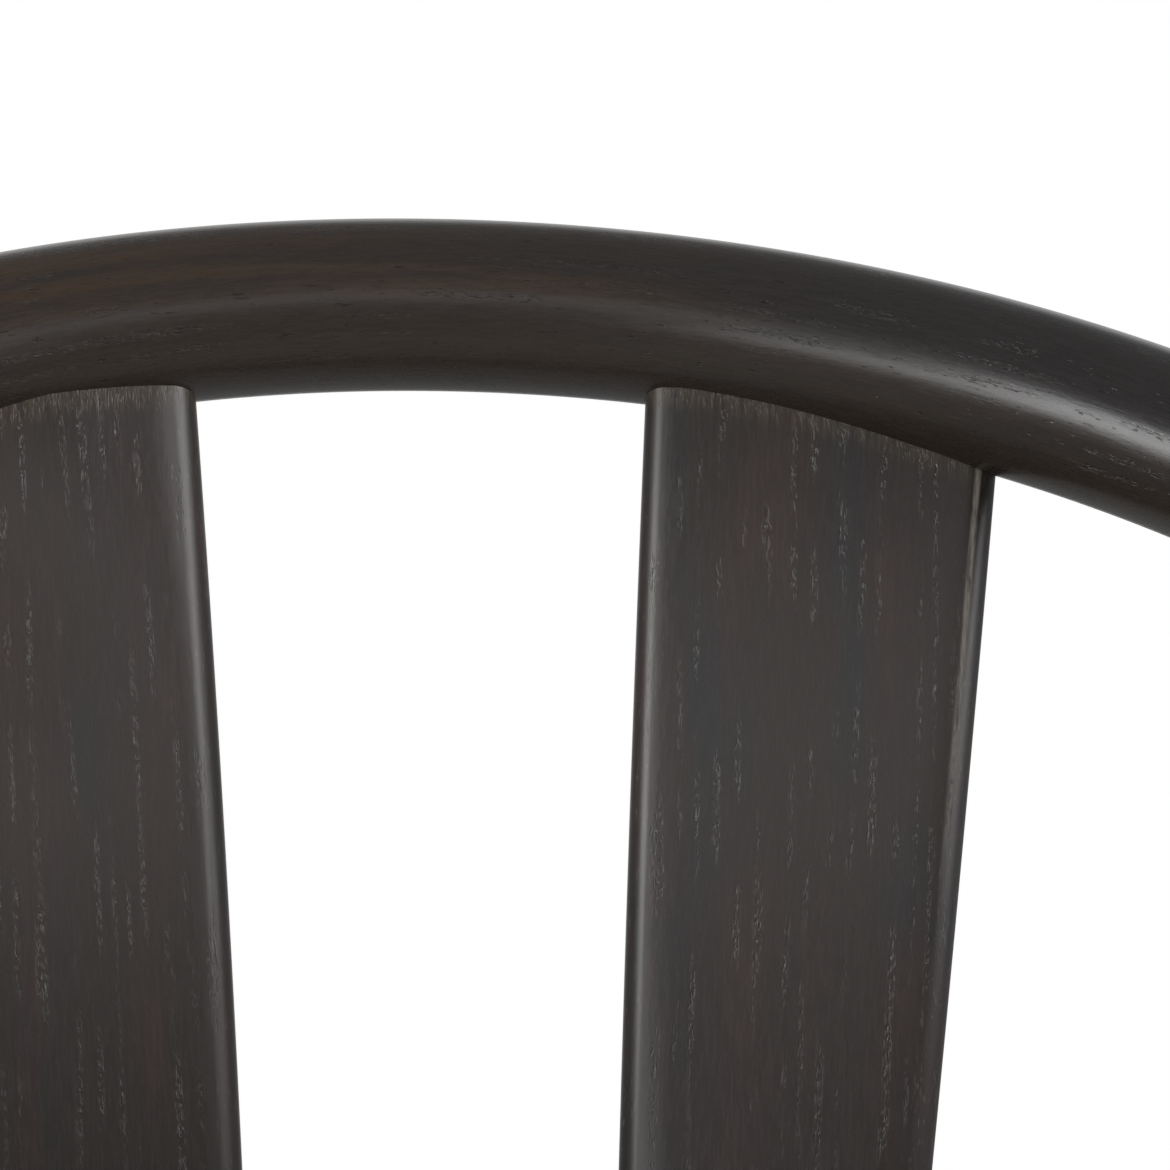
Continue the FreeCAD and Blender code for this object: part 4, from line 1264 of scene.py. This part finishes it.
def softbox(name, azimuth, elevation, distance, width, height, radiance):
    """Rectangular light aimed at the rail, placed by its direction from the rail's back."""
    data = bpy.data.lights.new(name, "AREA")
    data.shape = "RECTANGLE"
    data.size = width
    data.size_y = height
    data.energy = radiance * width * height * math.pi
    turn, rise = math.radians(azimuth), math.radians(elevation)
    way = Vector((math.sin(turn) * math.cos(rise), -math.cos(turn) * math.cos(rise), math.sin(rise)))
    light = bpy.data.objects.new(name, data)
    aimed = way.to_track_quat("Z", "Y").to_matrix().to_4x4()
    light.matrix_world = Matrix.Translation(RAIL_BACK + way * distance) @ aimed
    bpy.context.scene.collection.objects.link(light)
    return light


for settings in SOFTBOXES:
    softbox(*settings)
overhead = softbox(*OVERHEAD)
overhead.visible_glossy = False


def make_world():
    """White to the camera, white behind the chair and dim elsewhere in reflections, grey as light."""
    world = bpy.data.worlds.new("studio")
    sky = Nodes(world)
    way = sky.parts(sky.coordinates("Generated"))
    beside = sky.rest(sky.ramp(sky.math("ABSOLUTE", way["X"]), *BACKDROP_ASIDE))
    above = sky.rest(sky.ramp(way["Z"], *BACKDROP_ABOVE))
    behind = sky.ramp(way["Y"], *BACKDROP_BEHIND)
    white_part = sky.ramp(sky.times(sky.times(beside, above), behind), 0.0, 1.0)
    backdrop = sky.line(white_part, 1.0 - DIM_STUDIO, DIM_STUDIO)
    path = sky.tree.nodes.new("ShaderNodeLightPath").outputs
    mirrored = sky.math("MAXIMUM", path["Is Glossy Ray"], path["Is Transmission Ray"])
    level = sky.choose(path["Is Camera Ray"], sky.choose(mirrored, AMBIENT_LIGHT, backdrop), 1.0)
    sky.feed(sky.tree.nodes["Background"], {"Color": (1.0, 1.0, 1.0, 1.0), "Strength": level})
    bpy.context.scene.world = world


def make_floor():
    """Pale round floor that runs out into white."""
    bm = bmesh.new()
    bmesh.ops.create_circle(bm, cap_ends=True, segments=FLOOR_SIDES, radius=FLOOR_RADIUS)
    floor = new_object("floor", bm)
    paint = new_paint("pale floor")
    distance = paint.add("ShaderNodeVectorMath", "Value", {0: paint.coordinates()}, operation="LENGTH")
    edge = paint.ramp(distance, *(FLOOR_RADIUS * share for share in FLOOR_FADE))
    path = paint.tree.nodes.new("ShaderNodeLightPath").outputs
    faded = paint.times(edge, path["Is Camera Ray"])
    lift = paint.times(path["Is Camera Ray"], FLOOR_LIFT)
    colour = paint.mix(path["Is Glossy Ray"], FLOOR_COLOUR, FLOOR_MIRRORED)
    material = paint.surface({"Base Color": colour, "Roughness": FLOOR_ROUGHNESS})
    grey = paint.tree.nodes["Principled BSDF"].outputs[0]
    white = paint.add("ShaderNodeEmission", 0, {})
    blend = paint.add("ShaderNodeMixShader", 0, {0: paint.math("MAXIMUM", faded, lift), 1: grey, 2: white})
    paint.feed(paint.tree.nodes["Material Output"], {"Surface": blend})
    floor.data.materials.append(material)


make_floor()
make_world()
bpy.context.scene.view_settings.view_transform = "Standard"
